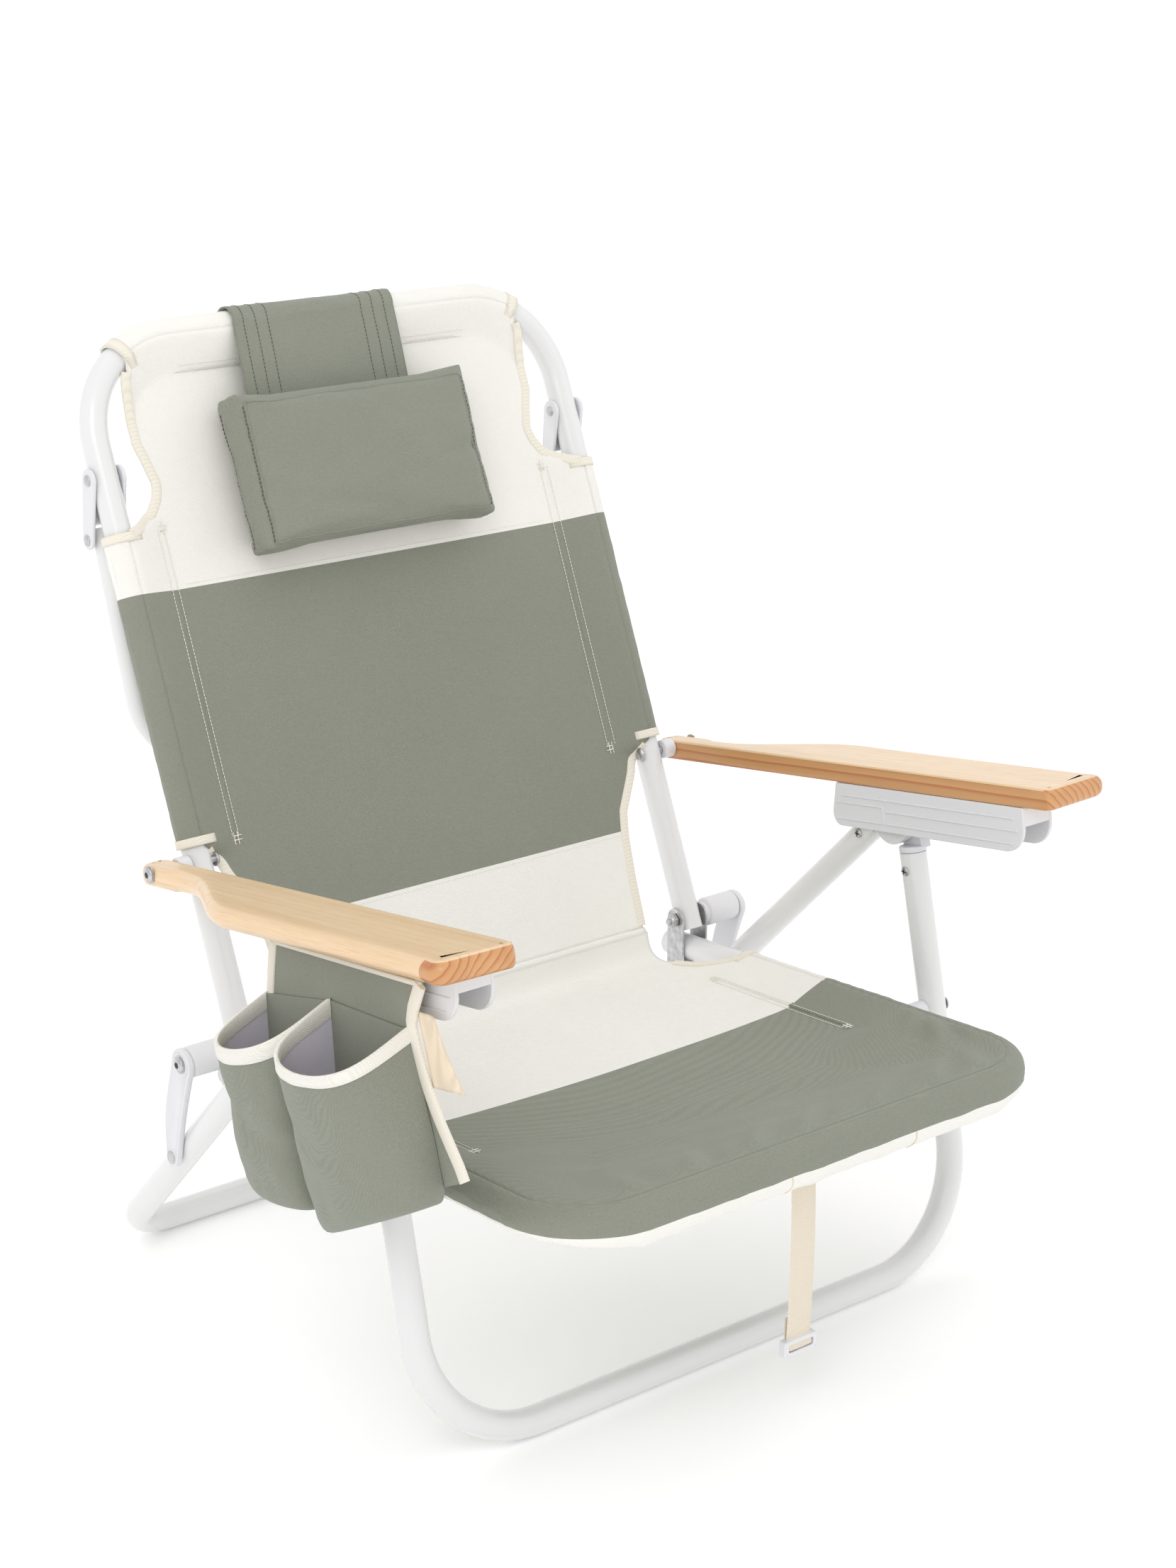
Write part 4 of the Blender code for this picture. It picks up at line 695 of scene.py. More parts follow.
# --------------------------------------------------------------------------
# plastic and metal fittings
# --------------------------------------------------------------------------
for s, sx in SIDES:
    # seat tube end caps
    c = G(sx * HB, SEAT_REAR_Y, seat_z(SEAT_REAR_Y))
    m = Mesh()
    rows = []
    nrm = XV.cross(SD)
    for d, r in ((-0.011, 0.0100), (0.0002, 0.0100), (0.0003, 0.0114), (0.0014, 0.0117), (0.0024, 0.0108), (0.0030, 0.0088), (0.0031, 0.0003)):
        rows.append([c + SD * d + (XV * math.cos(2 * math.pi * j / 28) + nrm * math.sin(2 * math.pi * j / 28)) * r for j in range(28)])
    m.grid(rows, closed=True)
    m.cap(rows[0])
    make("seat_cap_" + s, m, [M_PLASTIC], "seat", ["seat_end_cap_" + s])

    # back tube end plugs
    c = BP(sx * HB, -0.0110)
    m = Mesh()
    rows = []
    for d, r in ((0.0060, 0.0099), (0.0004, 0.0099), (0.0001, 0.0092), (0.0001, 0.0003)):
        rows.append([c + BU * d + (XV * math.cos(2 * math.pi * j / 28) + BN * math.sin(2 * math.pi * j / 28)) * r for j in range(28)])
    m.grid(rows, closed=True)
    m.cap(rows[0])
    make("back_plug_" + s, m, [M_PLASTIC], "back", ["back_end_plug_" + s])

    # hinge bolt, nut and hub
    inner = HB - 0.0146
    m = Mesh()
    revolve(m, HINGE, [(sx * (inner - 0.0095), 0.0022), (sx * (inner - 0.0088), 0.0030), (sx * (LINK_X1 + 0.0004), 0.0030)], 20)
    dome_head(m, HINGE, sx * (LINK_X1 + 0.0003), sx, 0.0067, 0.0034)
    revolve(m, HINGE, [(sx * (LINK_X1 + 0.0002), 0.0078), (sx * (LINK_X1 + 0.0009), 0.0078)], 32)
    make("hinge_bolt_v_" + s, m, [M_ZINC, M_RECESS_SHADE], "hinge_bolts", ["hinge_bolt_" + s])
    m = Mesh()
    hexr = [(HINGE[0] + 0.0068 * math.cos(math.radians(60 * k + 30)), HINGE[1] + 0.0068 * math.sin(math.radians(60 * k + 30))) for k in range(6)]
    plate(m, hexr, sx * (inner - 0.0048), sx * (inner - 0.0004))
    revolve(m, HINGE, [(sx * (inner - 0.0066), 0.0042), (sx * (inner - 0.0060), 0.0052), (sx * (inner - 0.0046), 0.0056)], 24)
    make("hinge_nut_v_" + s, m, [M_ZINC], "hinge_bolts", ["hinge_nut_" + s], bevel=0.0005)
    h0 = HB + 0.0128 + 0.0018 + 0.0003
    m = Mesh()
    revolve(m, HINGE, [(sx * h0, 0.0092), (sx * (h0 + 0.0005), 0.0100), (sx * (h0 + 0.0045), 0.0100), (sx * (h0 + 0.0050), 0.0118),
                       (sx * (h0 + 0.0058), 0.0128), (sx * (h0 + 0.0070), 0.0131), (sx * (LINK_X0 - 0.0040), 0.0131),
                       (sx * (LINK_X0 - 0.0012), 0.0124), (sx * (LINK_X0 - 0.0004), 0.0112)], 40)
    make("hub_" + s, m, [M_PLASTIC], "hinge_bolts", ["hub_spacer_" + s], angle=50)

    # drop link: broad head, waist, narrow foot, with a raised rim
    ld = Vector((LINK_REAR[0] - HINGE[0], LINK_REAR[1] - HINGE[1]))
    ll = ld.length
    l1 = ld.normalized()
    l2 = Vector((-l1.y, l1.x))

    def lp(a, b):
        q = Vector(HINGE) + l1 * a + l2 * b
        return (q.x, q.y)

    def link_outline(inset=0.0):
        pts = []
        for k in range(17):
            a = math.radians(90 + 180 * k / 16)
            pts.append(lp((0.0125 - inset) * math.cos(a), (0.0140 - inset) * math.sin(a)))
        for k in range(1, 12):
            t = k / 12
            pts.append(lp(ll * t, -0.0140 + inset + 0.0020 * math.sin(math.pi * t) + 0.0055 * t))
        for k in range(17):
            a = math.radians(-90 + 180 * k / 16)
            pts.append(lp(ll + (0.0090 - inset) * math.cos(a), (0.0085 - inset) * math.sin(a)))
        for k in range(1, 12):
            t = 1 - k / 12
            pts.append(lp(ll * t, 0.0085 - inset + 0.0075 * math.sin(math.pi * min(1.0, (1 - t) * 1.05)) * (0.4 + 0.6 * t) + 0.0055 * (1 - t)))
        return pts

    m = Mesh()
    rows = []
    for x, ins in ((LINK_X0, 0.0007), (LINK_X0 + 0.0007, 0.0), (LINK_X1 - 0.0012, 0.0), (LINK_X1 - 0.0003, 0.0004), (LINK_X1, 0.0012),
                   (LINK_X1 - 0.0001, 0.0022), (LINK_X1 - 0.0008, 0.0030)):
        rows.append([G(sx * x, y, z) for y, z in link_outline(ins)])
    m.grid(rows, closed=True)
    m.cap(rows[0])
    m.cap(rows[-1])
    revolve(m, HINGE, [(sx * (LINK_X1 - 0.0010), 0.0098), (sx * (LINK_X1 - 0.0001), 0.0094), (sx * LINK_X1, 0.0088)], 32)
    revolve(m, LINK_REAR, [(sx * (LINK_X1 - 0.0010), 0.0070), (sx * (LINK_X1 - 0.0001), 0.0066), (sx * LINK_X1, 0.0060)], 32)
    make("link_" + s, m, [M_PLASTIC], "link_" + s, ["drop_link_" + s], angle=45)
    m = Mesh()
    revolve(m, LINK_REAR, [(sx * (LINK_X0 + 0.0004), 0.0028), (sx * (LINK_X1 + 0.0002), 0.0028)], 16)
    dome_head(m, LINK_REAR, sx * (LINK_X1 + 0.0001), sx, 0.0056, 0.0020, drive=None)
    make("link_rivet_v_" + s, m, [M_ZINC], "link_" + s, ["link_rivet_" + s])

    # seat pivot bolts and spacers
    a, b = HB - TUBE_R - 0.0006, HL + TUBE_R + 0.0006
    m = Mesh()
    revolve(m, SEAT_PIVOT, [(sx * a, 0.0031), (sx * b, 0.0031)], 16)
    dome_head(m, SEAT_PIVOT, sx * b, sx, 0.0062, 0.0029)
    dome_head(m, SEAT_PIVOT, sx * a, -sx, 0.0058, 0.0025, drive=None)
    make("seat_bolt_" + s, m, [M_ZINC, M_RECESS_SHADE], "seat", ["seat_pivot_bolt_" + s])
    m = Mesh()
    a, b = HB + TUBE_R + 0.0004, HL - TUBE_R - 0.0004
    revolve(m, SEAT_PIVOT, [(sx * a, 0.0078), (sx * (a + 0.0007), 0.0085), (sx * (b - 0.0007), 0.0085), (sx * b, 0.0078)], 32)
    make("seat_spacer_" + s, m, [M_PLASTIC], "seat", ["seat_pivot_spacer_" + s])

    # armrest bolts and spacers
    ins, outs = HB - TUBE_R - 0.0005, 0.2865 + 0.0005
    m = Mesh()
    revolve(m, ARM_PIVOT, [(sx * ins, 0.0030), (sx * outs, 0.0030)], 16)
    revolve(m, ARM_PIVOT, [(sx * (outs - 0.0001), 0.0074), (sx * (outs + 0.0006), 0.0074)], 32)
    dome_head(m, ARM_PIVOT, sx * (outs + 0.0005), sx, 0.0064, 0.0026)
    dome_head(m, ARM_PIVOT, sx * ins, -sx, 0.0064, 0.0036, drive=None)
    make("arm_bolt_v_" + s, m, [M_ZINC, M_RECESS_SHADE], "arm_bolt_" + s, ["arm_bolt_" + s])
    m = Mesh()
    a, b = HB + TUBE_R + 0.0004, 0.2625 - 0.0004
    revolve(m, ARM_PIVOT, [(sx * a, 0.0078), (sx * (a + 0.0006), 0.0085), (sx * (b - 0.0006), 0.0085), (sx * b, 0.0078)], 32)
    make("arm_spacer_v_" + s, m, [M_PLASTIC], "arm_bolt_" + s, ["arm_spacer_" + s])

    # leg plugs: round neck out of the tube, then a half-thickness disc round the pin
    fd = (Vector(FRONT_TOP) - Vector(FRONT_FOOT)).normalized()
    rd = (Vector(REAR_TOP) - Vector(REAR_FOOT)).normalized()
    for nm, top, d, x_lo, x_hi, node_name, bd in (
            ("front", FRONT_TOP, fd, HL + 0.0002, HL + TUBE_R - 0.0006, "front_plug_", "front_leg"),
            ("rear", REAR_TOP, rd, HL - TUBE_R + 0.0006, HL - 0.0002, "rear_plug_", "rear_leg")):
        m = Mesh()
        d3 = Vector((0, d.x, d.y))
        c = G(sx * HL, top[0], top[1])
        q = XV.cross(d3)
        rows = []
        for a, r in ((-0.026, 0.0098), (0.0001, 0.0098), (0.0003, 0.0112), (0.0010, 0.0116), (0.0050, 0.0116), (0.0056, 0.0110)):
            rows.append([c + d3 * a + (XV * math.cos(2 * math.pi * j / 32) + q * math.sin(2 * math.pi * j / 32)) * r for j in range(32)])
        m.grid(rows, closed=True)
        m.cap(rows[0])
        m.cap(rows[-1])
        # tongue from the neck to the disc
        n2 = Vector((-d.y, d.x))
        pin = Vector(LEG_PIN)
        tt = Vector(top)
        offs = (pin - tt).dot(n2)
        sg = 1.0 if offs > 0 else -1.0
        st = tt + d * 0.0030
        inn_ = st + n2 * sg * 0.0112
        lat = (inn_ - pin).dot(n2 * sg)
        outl = [st - n2 * sg * 0.0112, inn_, pin + n2 * sg * lat - d * math.sqrt(0.0203 ** 2 - lat ** 2)]
        base = math.atan2(n2.y * sg, n2.x * sg)
        for k in range(1, 41):
            ang = base + (-1.0 if sg > 0 else 1.0) * math.radians(-88 + 254 * k / 40)
            outl.append(pin + Vector((math.cos(ang), math.sin(ang))) * 0.0203)
        plate(m, [(v_.x, v_.y) for v_ in outl], sx * x_lo, sx * x_hi)
        make(nm + "_plug_v_" + s, m, [M_PLASTIC], bd, [node_name + s], bevel=0.0009)
        sc = tt - d * 0.0150
        m = Mesh()
        xo = HL - TUBE_R - 0.0001
        revolve(m, (sc.x, sc.y), [(sx * (xo + 0.012), 0.0018), (sx * xo, 0.0020)], 12)
        dome_head(m, (sc.x, sc.y), sx * xo, -sx, 0.0042, 0.0018, drive="cross")
        make(nm + "_screw_v_" + s, m, [M_ZINC, M_RECESS_SHADE], bd, [nm + "_plug_screw_" + s])
    m = Mesh()
    revolve(m, LEG_PIN, [(sx * 0.2666, 0.0036), (sx * 0.2670, 0.0040), (sx * 0.2930, 0.0040), (sx * 0.2934, 0.0036)], 24)
    make("leg_pin_v_" + s, m, [M_ZINC], "front_leg", ["leg_pin_" + s])

    # towel bar clevis and rivets
    up_, lo_ = Vector((HINGE[0] + BU.y * 0.4810, HINGE[1] + BU.z * 0.4810)), Vector(tp)
    ax = (lo_ - up_).normalized()
    pr = Vector((-ax.y, ax.x))
    ln = (lo_ - up_).length
    outl = []
    for k in range(17):
        a = math.radians(90 + 180 * k / 16)
        outl.append(up_ + ax * (0.0098 * math.cos(a)) + pr * (0.0098 * math.sin(a)))
    for k in range(17):
        a = math.radians(-90 + 180 * k / 16)
        outl.append(up_ + ax * (ln + 0.0082 * math.cos(a)) + pr * (0.0082 * math.sin(a)))
    outl = [(v_.x, v_.y) for v_ in outl]
    c = sx * HB
    m = Mesh()
    plate(m, outl, c - 0.0157, c - 0.0124)
    plate(m, outl, c + 0.0124, c + 0.0157)
    b0, b1 = BP(c, 0.4460, -0.0135), BP(c, 0.4700, -0.0165)
    for w0, w1 in (((b0, b1),)):
        dd = (w1 - w0).normalized()
        nn = XV.cross(dd)
        rows = []
        for xx in (-0.0140, 0.0140):
            rows.append([w0 + XV * xx - nn * 0.0014, w1 + XV * xx - nn * 0.0014, w1 + XV * xx + nn * 0.0014, w0 + XV * xx + nn * 0.0014])
        m.grid(rows, closed=True)
        m.cap(rows[0])
        m.cap(rows[1])
    make("towel_clevis_" + s, m, [M_PLASTIC], "back", ["towel_bracket_" + s], bevel=0.0010)
    for nm, cc in (("towel_bar_rivet_", tp), ("towel_bracket_rivet_", (up_.x, up_.y))):
        m = Mesh()
        revolve(m, cc, [(c - sx * 0.0158, 0.0022), (c + sx * 0.0158, 0.0022)], 16)
        dome_head(m, cc, c + sx * 0.0157, sx, 0.0048, 0.0019, drive=None)
        dome_head(m, cc, c - sx * 0.0157, -sx, 0.0046, 0.0017, drive=None)
        make(nm + "v_" + s, m, [M_ZINC], "back", [nm + s])

    # hinge brackets keep their CAD shape, with softened sheet edges
    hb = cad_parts["hinge_bracket_" + s]
    hb.data.materials.clear()
    hb.data.materials.append(M_ZINC)
    bv = hb.modifiers.new("edge", "BEVEL")
    bv.width, bv.segments, bv.limit_method = 0.0004, 2, "ANGLE"

# --------------------------------------------------------------------------
# armrests
# --------------------------------------------------------------------------


def arm_outer(sv):
    t = (sv - 0.055) / 0.135
    return 0.2865 + (0.3310 - 0.2865) * sstep(0.0, 1.0, t)


def arm_points():
    """Plan outline with, for each point, how deep and how round its edge is."""
    pts = []
    inn, out = 0.2625, 0.3310
    n_in = 30
    for k in range(n_in + 1):
        pts.append((inn, -0.0070 + (ARM_LEN - 0.0070 + 0.0070) * k / n_in, 0.0035, 5.0))
    for a in range(0, 91, 15):
        r = 0.0070
        pts.append((inn + r - r * math.cos(math.radians(a)), ARM_LEN - r + r * math.sin(math.radians(a)), 0.0055, 3.0))
    for a in range(0, 91, 10):
        r = 0.0130
        pts.append((out - r + r * math.sin(math.radians(a)), ARM_LEN - r + r * math.cos(math.radians(a)), 0.0095, 2.3))
    for k in range(1, 26):
        sv = ARM_LEN - 0.013 - (ARM_LEN - 0.013 - 0.215) * k / 26
        pts.append((out, sv, 0.0115, 2.0))
    for k in range(25):
        sv = 0.205 - (0.205 - 0.040) * k / 24
        pts.append((arm_outer(sv), sv, 0.0105, 2.0))
    for k in range(1, 6):
        pts.append((0.2865, 0.040 - 0.050 * k / 6, 0.0060, 2.2))
    for a in range(0, 91, 15):
        r = 0.0085
        pts.append((0.2865 - r + r * math.cos(math.radians(a)), -0.0105 - r * math.sin(math.radians(a)), 0.0060, 2.4))
    for a in range(0, 91, 15):
        r = 0.0060
        pts.append((inn + r - r * math.sin(math.radians(a)), -0.0130 - r * math.cos(math.radians(a)), 0.0045, 3.0))
    clean = []
    for q in pts:
        if not clean or (Vector(q[:2]) - Vector(clean[-1][:2])).length > 0.0006:
            clean.append(q)
    if (Vector(clean[0][:2]) - Vector(clean[-1][:2])).length < 0.0006:
        clean.pop()
    return clean


ARM_PTS = arm_points()
for s, sx in SIDES:
    m = Mesh()
    n_ = len(ARM_PTS)
    norms = []
    for i in range(n_):
        a, b = Vector(ARM_PTS[i - 1][:2]), Vector(ARM_PTS[(i + 1) % n_][:2])
        t = (b - a).normalized()
        norms.append(Vector((-t.y, t.x)))
    cen = Vector((0.30, 0.25))
    if norms[3].dot(Vector(ARM_PTS[3][:2]) - cen) < 0:
        norms = [-q for q in norms]
    rows, hs = [], []
    for k in range(-10, 11):
        qv = math.sin(math.radians(9 * k))
        row = []
        for (x, sv, r, ex), nv in zip(ARM_PTS, norms):
            d = r * (1 - (1 - abs(qv) ** ex) ** (1 / ex))
            row.append(AP(sx * (x - nv.x * d), sv - nv.y * d, ARM_T / 2 * qv - ARM_DROP))
        rows.append(row)
        hs.append(qv)
    for qv, extra in ((1, 0.0020), (1, 0.0045)):
        row = []
        for (x, sv, r, ex), nv in zip(ARM_PTS, norms):
            row.append(AP(sx * (x - nv.x * (r + extra)), sv - nv.y * (r + extra), ARM_T / 2 * qv - ARM_DROP))
        rows.append(row)
    low = []
    for extra in (0.0045, 0.0020):
        low.append([AP(sx * (x - nv.x * (r + extra)), sv - nv.y * (r + extra), -ARM_T / 2 - ARM_DROP) for (x, sv, r, ex), nv in zip(ARM_PTS, norms)])
    rows = low + rows

    def top_or_side(i, j, sx=sx):
        x_, sv_, r_, e_ = ARM_PTS[j]
        if i < 2 or i > 19:
            return 0
        front = sv_ > ARM_LEN - 0.016
        side = sx > 0 and 3 <= i <= 17
        return 1 if (front and 2 <= i <= 18) or side else 0

    m.grid(rows, closed=True, pick=top_or_side)
    for qv in (-1, 1):
        flat_ = [Vector((x - nv.x * (r + 0.0045), sv - nv.y * (r + 0.0045))) for (x, sv, r, ex), nv in zip(ARM_PTS, norms)]
        vs_, _, fs_, _, _, _ = delaunay_2d_cdt(flat_, [], [list(range(len(flat_)))], 1, 1e-7)
        base = len(m.v)
        m.v += [tuple(AP(sx * q.x, q.y, ARM_T / 2 * qv - ARM_DROP)) for q in vs_]
        m.f += [tuple(base + k for k in f) for f in fs_]
        m.m += [0] * len(fs_)
    make("armrest_wood_" + s, m, [M_WOOD, M_WOOD_S], "armrest_" + s, ["armrest_" + s], angle=60)

    # rack under the armrest: two walls with raised ribs, a web and a rounded nose
    top = -ARM_T / 2 - ARM_DROP - 0.0003
    lowh = -ARM_T / 2 - 0.0410
    s0, s1 = 0.2200, 0.4430
    wall = [(s0 + 0.0022, top), (s0 - 0.0040, lowh + 0.0125)]
    wall += [(s0 + 0.0055 - 0.0095 * math.cos(math.radians(a)), lowh + 0.0105 - 0.0105 * math.sin(math.radians(a))) for a in range(5, 91, 10)]
    wall += [(s0 + (s1 - s0) * k / 10, lowh) for k in range(1, 9)]
    wall += [(s1 - 0.0220 + 0.0220 * math.sin(math.radians(a)), lowh + 0.0220 - 0.0220 * math.cos(math.radians(a))) for a in range(0, 91, 10)]
    wall += [(s1, top)]
    m = Mesh()
    for x0, x1 in ((0.2630, 0.2662), (0.2938, 0.2970)):
        w2 = [(AP(0, a, b) - O) for a, b in wall]
        plate(m, [(v_.y, v_.z) for v_ in w2], sx * x0, sx * x1)
    for a0, b0, a1, b1 in ((0.2245, top - 0.0002, 0.4422, top - 0.0029),):
        w2 = [AP(0, a, b) - O for a, b in ((a0, b0), (a1, b0), (a1, b1), (a0, b1))]
        plate(m, [(v_.y, v_.z) for v_ in w2], sx * 0.2652, sx * 0.2948)
    nose = [AP(0, a, b) - O for a, b in ((0.4392, top - 0.0012), (0.4426, top - 0.0012), (0.4426, -0.0280), (0.4392, -0.0280))]
    plate(m, [(v_.y, v_.z) for v_ in nose], sx * 0.2652, sx * 0.2948)
    rk = make("rack_" + s, m, [M_PLASTIC], "armrest_" + s, ["arm_rack_" + s], bevel=0.0008)
    m = Mesh()
    for xf, out_ in ((0.2630, -1), (0.2970, 1)):
        xr = sx * (xf + out_ * 0.00005)
        bars = [((0.2290, -0.0222), (0.4330, -0.0216)), ((0.2830, -0.0318), (0.4360, -0.0317)), ((0.2830, -0.0425), (0.4300, -0.0428)),
                ((0.2215, -0.0288), (0.2792, -0.0284)), ((0.2792, -0.0284), (0.2800, -0.0428)), ((0.2800, -0.0428), (0.2215, -0.0431))]
        for (a0, b0), (a1, b1) in bars:
            m.capsule(AP(xr, a0, b0), AP(xr, a1, b1), 0.00085, 0, 10)
    make("rack_ribs_" + s, m, [M_PLASTIC], "armrest_" + s, ())

# --------------------------------------------------------------------------
# back sling
# --------------------------------------------------------------------------
R_SL = 0.0134
EDGE = [(0.0, 0.1860), (0.050, 0.1885), (0.0874, 0.1923), (0.1086, 0.1968), (0.1300, 0.2090), (0.1406, 0.2150), (0.1514, 0.2190), (0.1617, 0.2270),
        (0.1700, 0.2374), (0.4290, 0.2374), (0.4350, 0.2215), (0.4460, 0.2045), (0.4580, 0.1965), (0.4700, 0.1935), (0.4880, 0.1980), (0.5050, 0.2030),
        (0.5560, 0.2035), (0.5700, 0.2000)]
V_TOP = BACK_LEN - 0.0012


def v_edge_top(x):
    d = max(0.0, abs(x) - (HB - BACK_R))
    return BACK_LEN - BACK_R + math.sqrt(max(0.0, (BACK_R - 0.0012) ** 2 - d ** 2))


def back_cover(x, v):
    """Rise of the sling over the side tubes and the top bar."""
    h = 0.0
    if 0.1550 < v < 0.4450:
        k = sstep(0.1550, 0.1690, v) * (1.0 - sstep(0.4330, 0.4450, v))
        h = cover(HB - abs(x), HB - 0.1990) * k
    d = max(0.0, abs(x) - (HB - BACK_R))
    dv = v - (BACK_LEN - BACK_R)
    if dv > 0.0:
        h = max(h, cover(BACK_R - math.hypot(d, dv), 0.0332))
    return h


def back_sag(x, v):
    """How far the sling stands out of the tube plane, seen from the front."""
    u_ = max(0.0, 1.0 - (x / 0.215) ** 2)
    s_ = math.sin(math.pi * min(1.0, max(0.0, v / 0.575))) ** 0.7
    n_ = -0.0055 * u_ * s_
    n_ += 0.0012 * nz(x * 9.0, v * 5.0, 2.0) * u_
    n_ += 0.0010 * nz(x * 16.0 + v * 9.0, v * 4.0 - x * 3.0, 7.0) * (0.3 + 0.7 * sstep(0.35, 0.56, v)) * u_
    # soft pleats above the hinge crease and diagonals from the sleeve tacks
    n_ += 0.0013 * nz(x * 30.0, v * 4.0, 11.0) * (1.0 - sstep(0.03, 0.13, v)) * u_
    # slack folds under the top bar and beside the sleeve tacks
    n_ += 0.0012 * nz(x * 20.0 + 3.0, v * 11.0, 17.0) * sstep(0.42, 0.53, v) * (1.0 - sstep(0.575, 0.59, v))
    return n_ + back_cover(x, v)


rows, NV, NU = [], 150, 96
v_rows = []
for i in range(NV + 1):
    v_rows.append(0.0015 + (V_TOP - 0.0015) * i / NV)
for b_ in (0.0915, 0.3800):
    k = min(range(len(v_rows)), key=lambda i: abs(v_rows[i] - b_))
    v_rows[k] = b_
for v in v_rows:
    w = lerp_knots(EDGE, v)
    row = []
    for j in range(NU + 1):
        x = w * (2 * j / NU - 1)
        vv = v + (v_edge_top(x) - V_TOP) * sstep(0.530, V_TOP, v)
        row.append(BP(x, vv, back_sag(x, vv)))
    rows.append(row)


def back_pick(i, j):
    return 1 if 0.0915 - 1e-6 <= (v_rows[i] + v_rows[i + 1]) / 2 <= 0.3800 + 1e-6 else 0


m = Mesh()
m.grid(rows, pick=back_pick)
back_panel = make("back_sling", m, [M_WHITE, M_GREEN_BACK], "back", ["back_fabric"], solid=0.0012, angle=0)


def sleeve_profile(L, R, count=26, sag=0.0):
    """Cross-section of cloth folded round a tube: (inward, normal) from the stitch line round and back."""
    al = math.acos(R / L)
    pts = []
    for k in range(6):
        t = k / 6
        pts.append((L + (R * math.cos(al) - L) * t, 0.0011 + (R * math.sin(al) - 0.0011) * t - sag * math.sin(math.pi * t), None))
    for k in range(count + 1):
        a = al + (2 * math.pi - 2 * al) * k / count
        pts.append((R * math.cos(a), R * math.sin(a), math.degrees(a)))
    for k in range(1, 7):
        t = k / 6
        pts.append((R * math.cos(al) + (L - R * math.cos(al)) * t, -R * math.sin(al) + (-0.0011 + R * math.sin(al)) * t + sag * math.sin(math.pi * t), None))
    return pts


def sleeve(m, stations, R, pick=None, skip=None, seed=0.0, rough=0.0005, under=0.09):
    """stations: (centre, inward, normal, stitch distance, position along)."""
    rows, angs = [], None
    for c, i_, n_, L, s_ in stations:
        prof = sleeve_profile(L, R, sag=0.0008)
        angs = [q[2] for q in prof]
        row = []
        for k, (a, b, ang) in enumerate(prof):
            wob = rough * nz(s_ * 45.0 + seed, k * 0.35, seed) + 0.6 * rough * nz(s_ * 120.0, k * 0.6, seed + 5)
            d = Vector((a, b))
            if ang is not None:
                out_ = sstep(88.0, 115.0, ang)
                d = d * (1 + out_ * max(-0.02, wob / R) - under * (1.0 - sstep(76.0, 90.0, ang)))
            else:
                d.y += wob * 0.8 if k > 10 else -under * 0.014
            row.append(c + i_ * d.x + n_ * d.y)
        rows.append(row)
    pk = (lambda i, j: pick(stations[i], (angs[j], angs[j + 1]), j)) if pick else None
    sk = (lambda i, j: skip(stations[i], (angs[j], angs[j + 1]), j)) if skip else None
    m.grid(rows, pick=pk, skip=sk)
    return rows


for s, sx in SIDES:
    st = []
    N = 74
    for k in range(N + 1):
        v = 0.1690 + (0.3800 - 0.1690) * k / 60 if k <= 60 else 0.3800 + (0.4325 - 0.3800) * (k - 60) / (N - 60)
        st.append((BP(sx * HB, v), XV * -sx, BN, HB - 0.1990, v))
    m = Mesh()
    sleeve(m, st, R_SL, pick=lambda a, g, j: 1 if a[4] < 0.3800 - 1e-6 else 0, seed=3.0 + sx)
    make("back_sleeve_" + s, m, [M_WHITE, M_GREEN_BACK], "back", (), solid=0.0009, angle=0)
    # bound ends of the sleeve
    for vv, dv in ((0.1690, 0.0075), (0.4325, -0.0075)):
        m = Mesh()
        stt = [(BP(sx * HB, vv + dv * k / 4), XV * -sx, BN, HB - 0.2020, vv) for k in range(5)]
        sleeve(m, stt, R_SL + 0.0010, seed=9.0, rough=0.0002, under=-0.06, skip=lambda a, g, j: j < 4 or j > 32)
        make("back_sleeve_hem_%s_%d" % (s, 1 if dv > 0 else 2), m, [M_BINDING], "back", (), solid=0.0010, angle=0)

# sleeve over the top bar
st = []
half = HB - BACK_R
N = 100
for k in range(N + 1):
    x = -0.2030 + 0.4060 * k / N
    d = max(0.0, abs(x) - half)
    vc = BACK_LEN - (BACK_R - math.sqrt(BACK_R ** 2 - d ** 2))
    ang = math.asin(min(1.0, d / BACK_R)) * (1 if x > 0 else -1)
    inward = -(BU * math.cos(ang) + XV * math.sin(ang))
    L = 0.0332 if abs(x) < half else 0.0332 - 0.006 * (abs(x) - half) / 0.05
    st.append((BP(x, vc), inward, BN, L, x))
m = Mesh()
sleeve(m, st, R_SL, seed=21.0, rough=0.0007)
make("back_top_sleeve", m, [M_WHITE], "back", (), solid=0.0009, angle=0)
for nm, sl in (("l", st[:3]), ("r", st[-3:])):
    m = Mesh()
    sleeve(m, [(a, b, c, L * 0.97, s_) for a, b, c, L, s_ in sl], R_SL + 0.0010, seed=5.0, rough=0.0002, under=-0.06)
    make("back_top_hem_" + nm, m, [M_BINDING], "back", (), solid=0.0010, angle=0)

# bindings round the four cut-outs of the sling
for s, sx in SIDES:
    m = Mesh()
    path = []
    for k in range(36):
        v = 0.4300 + (0.5640 - 0.4300) * k / 35
        x = sx * (lerp_knots(EDGE, v) - 0.0010)
        path.append(BP(x, v, back_sag(x, v)))
    ribbon(m, path, BN, 0.0090, 0.0030, sides=12)
    path = []
    for k in range(44):
        v = 0.0040 + (0.1650 - 0.0040) * k / 43
        x = sx * (lerp_knots(EDGE, v) - 0.0010)
        path.append(BP(x, v, back_sag(x, v)))
    ribbon(m, path, BN, 0.0090, 0.0030, sides=12)
    make("back_binding_" + s, m, [M_BINDING], "back", (), angle=60)

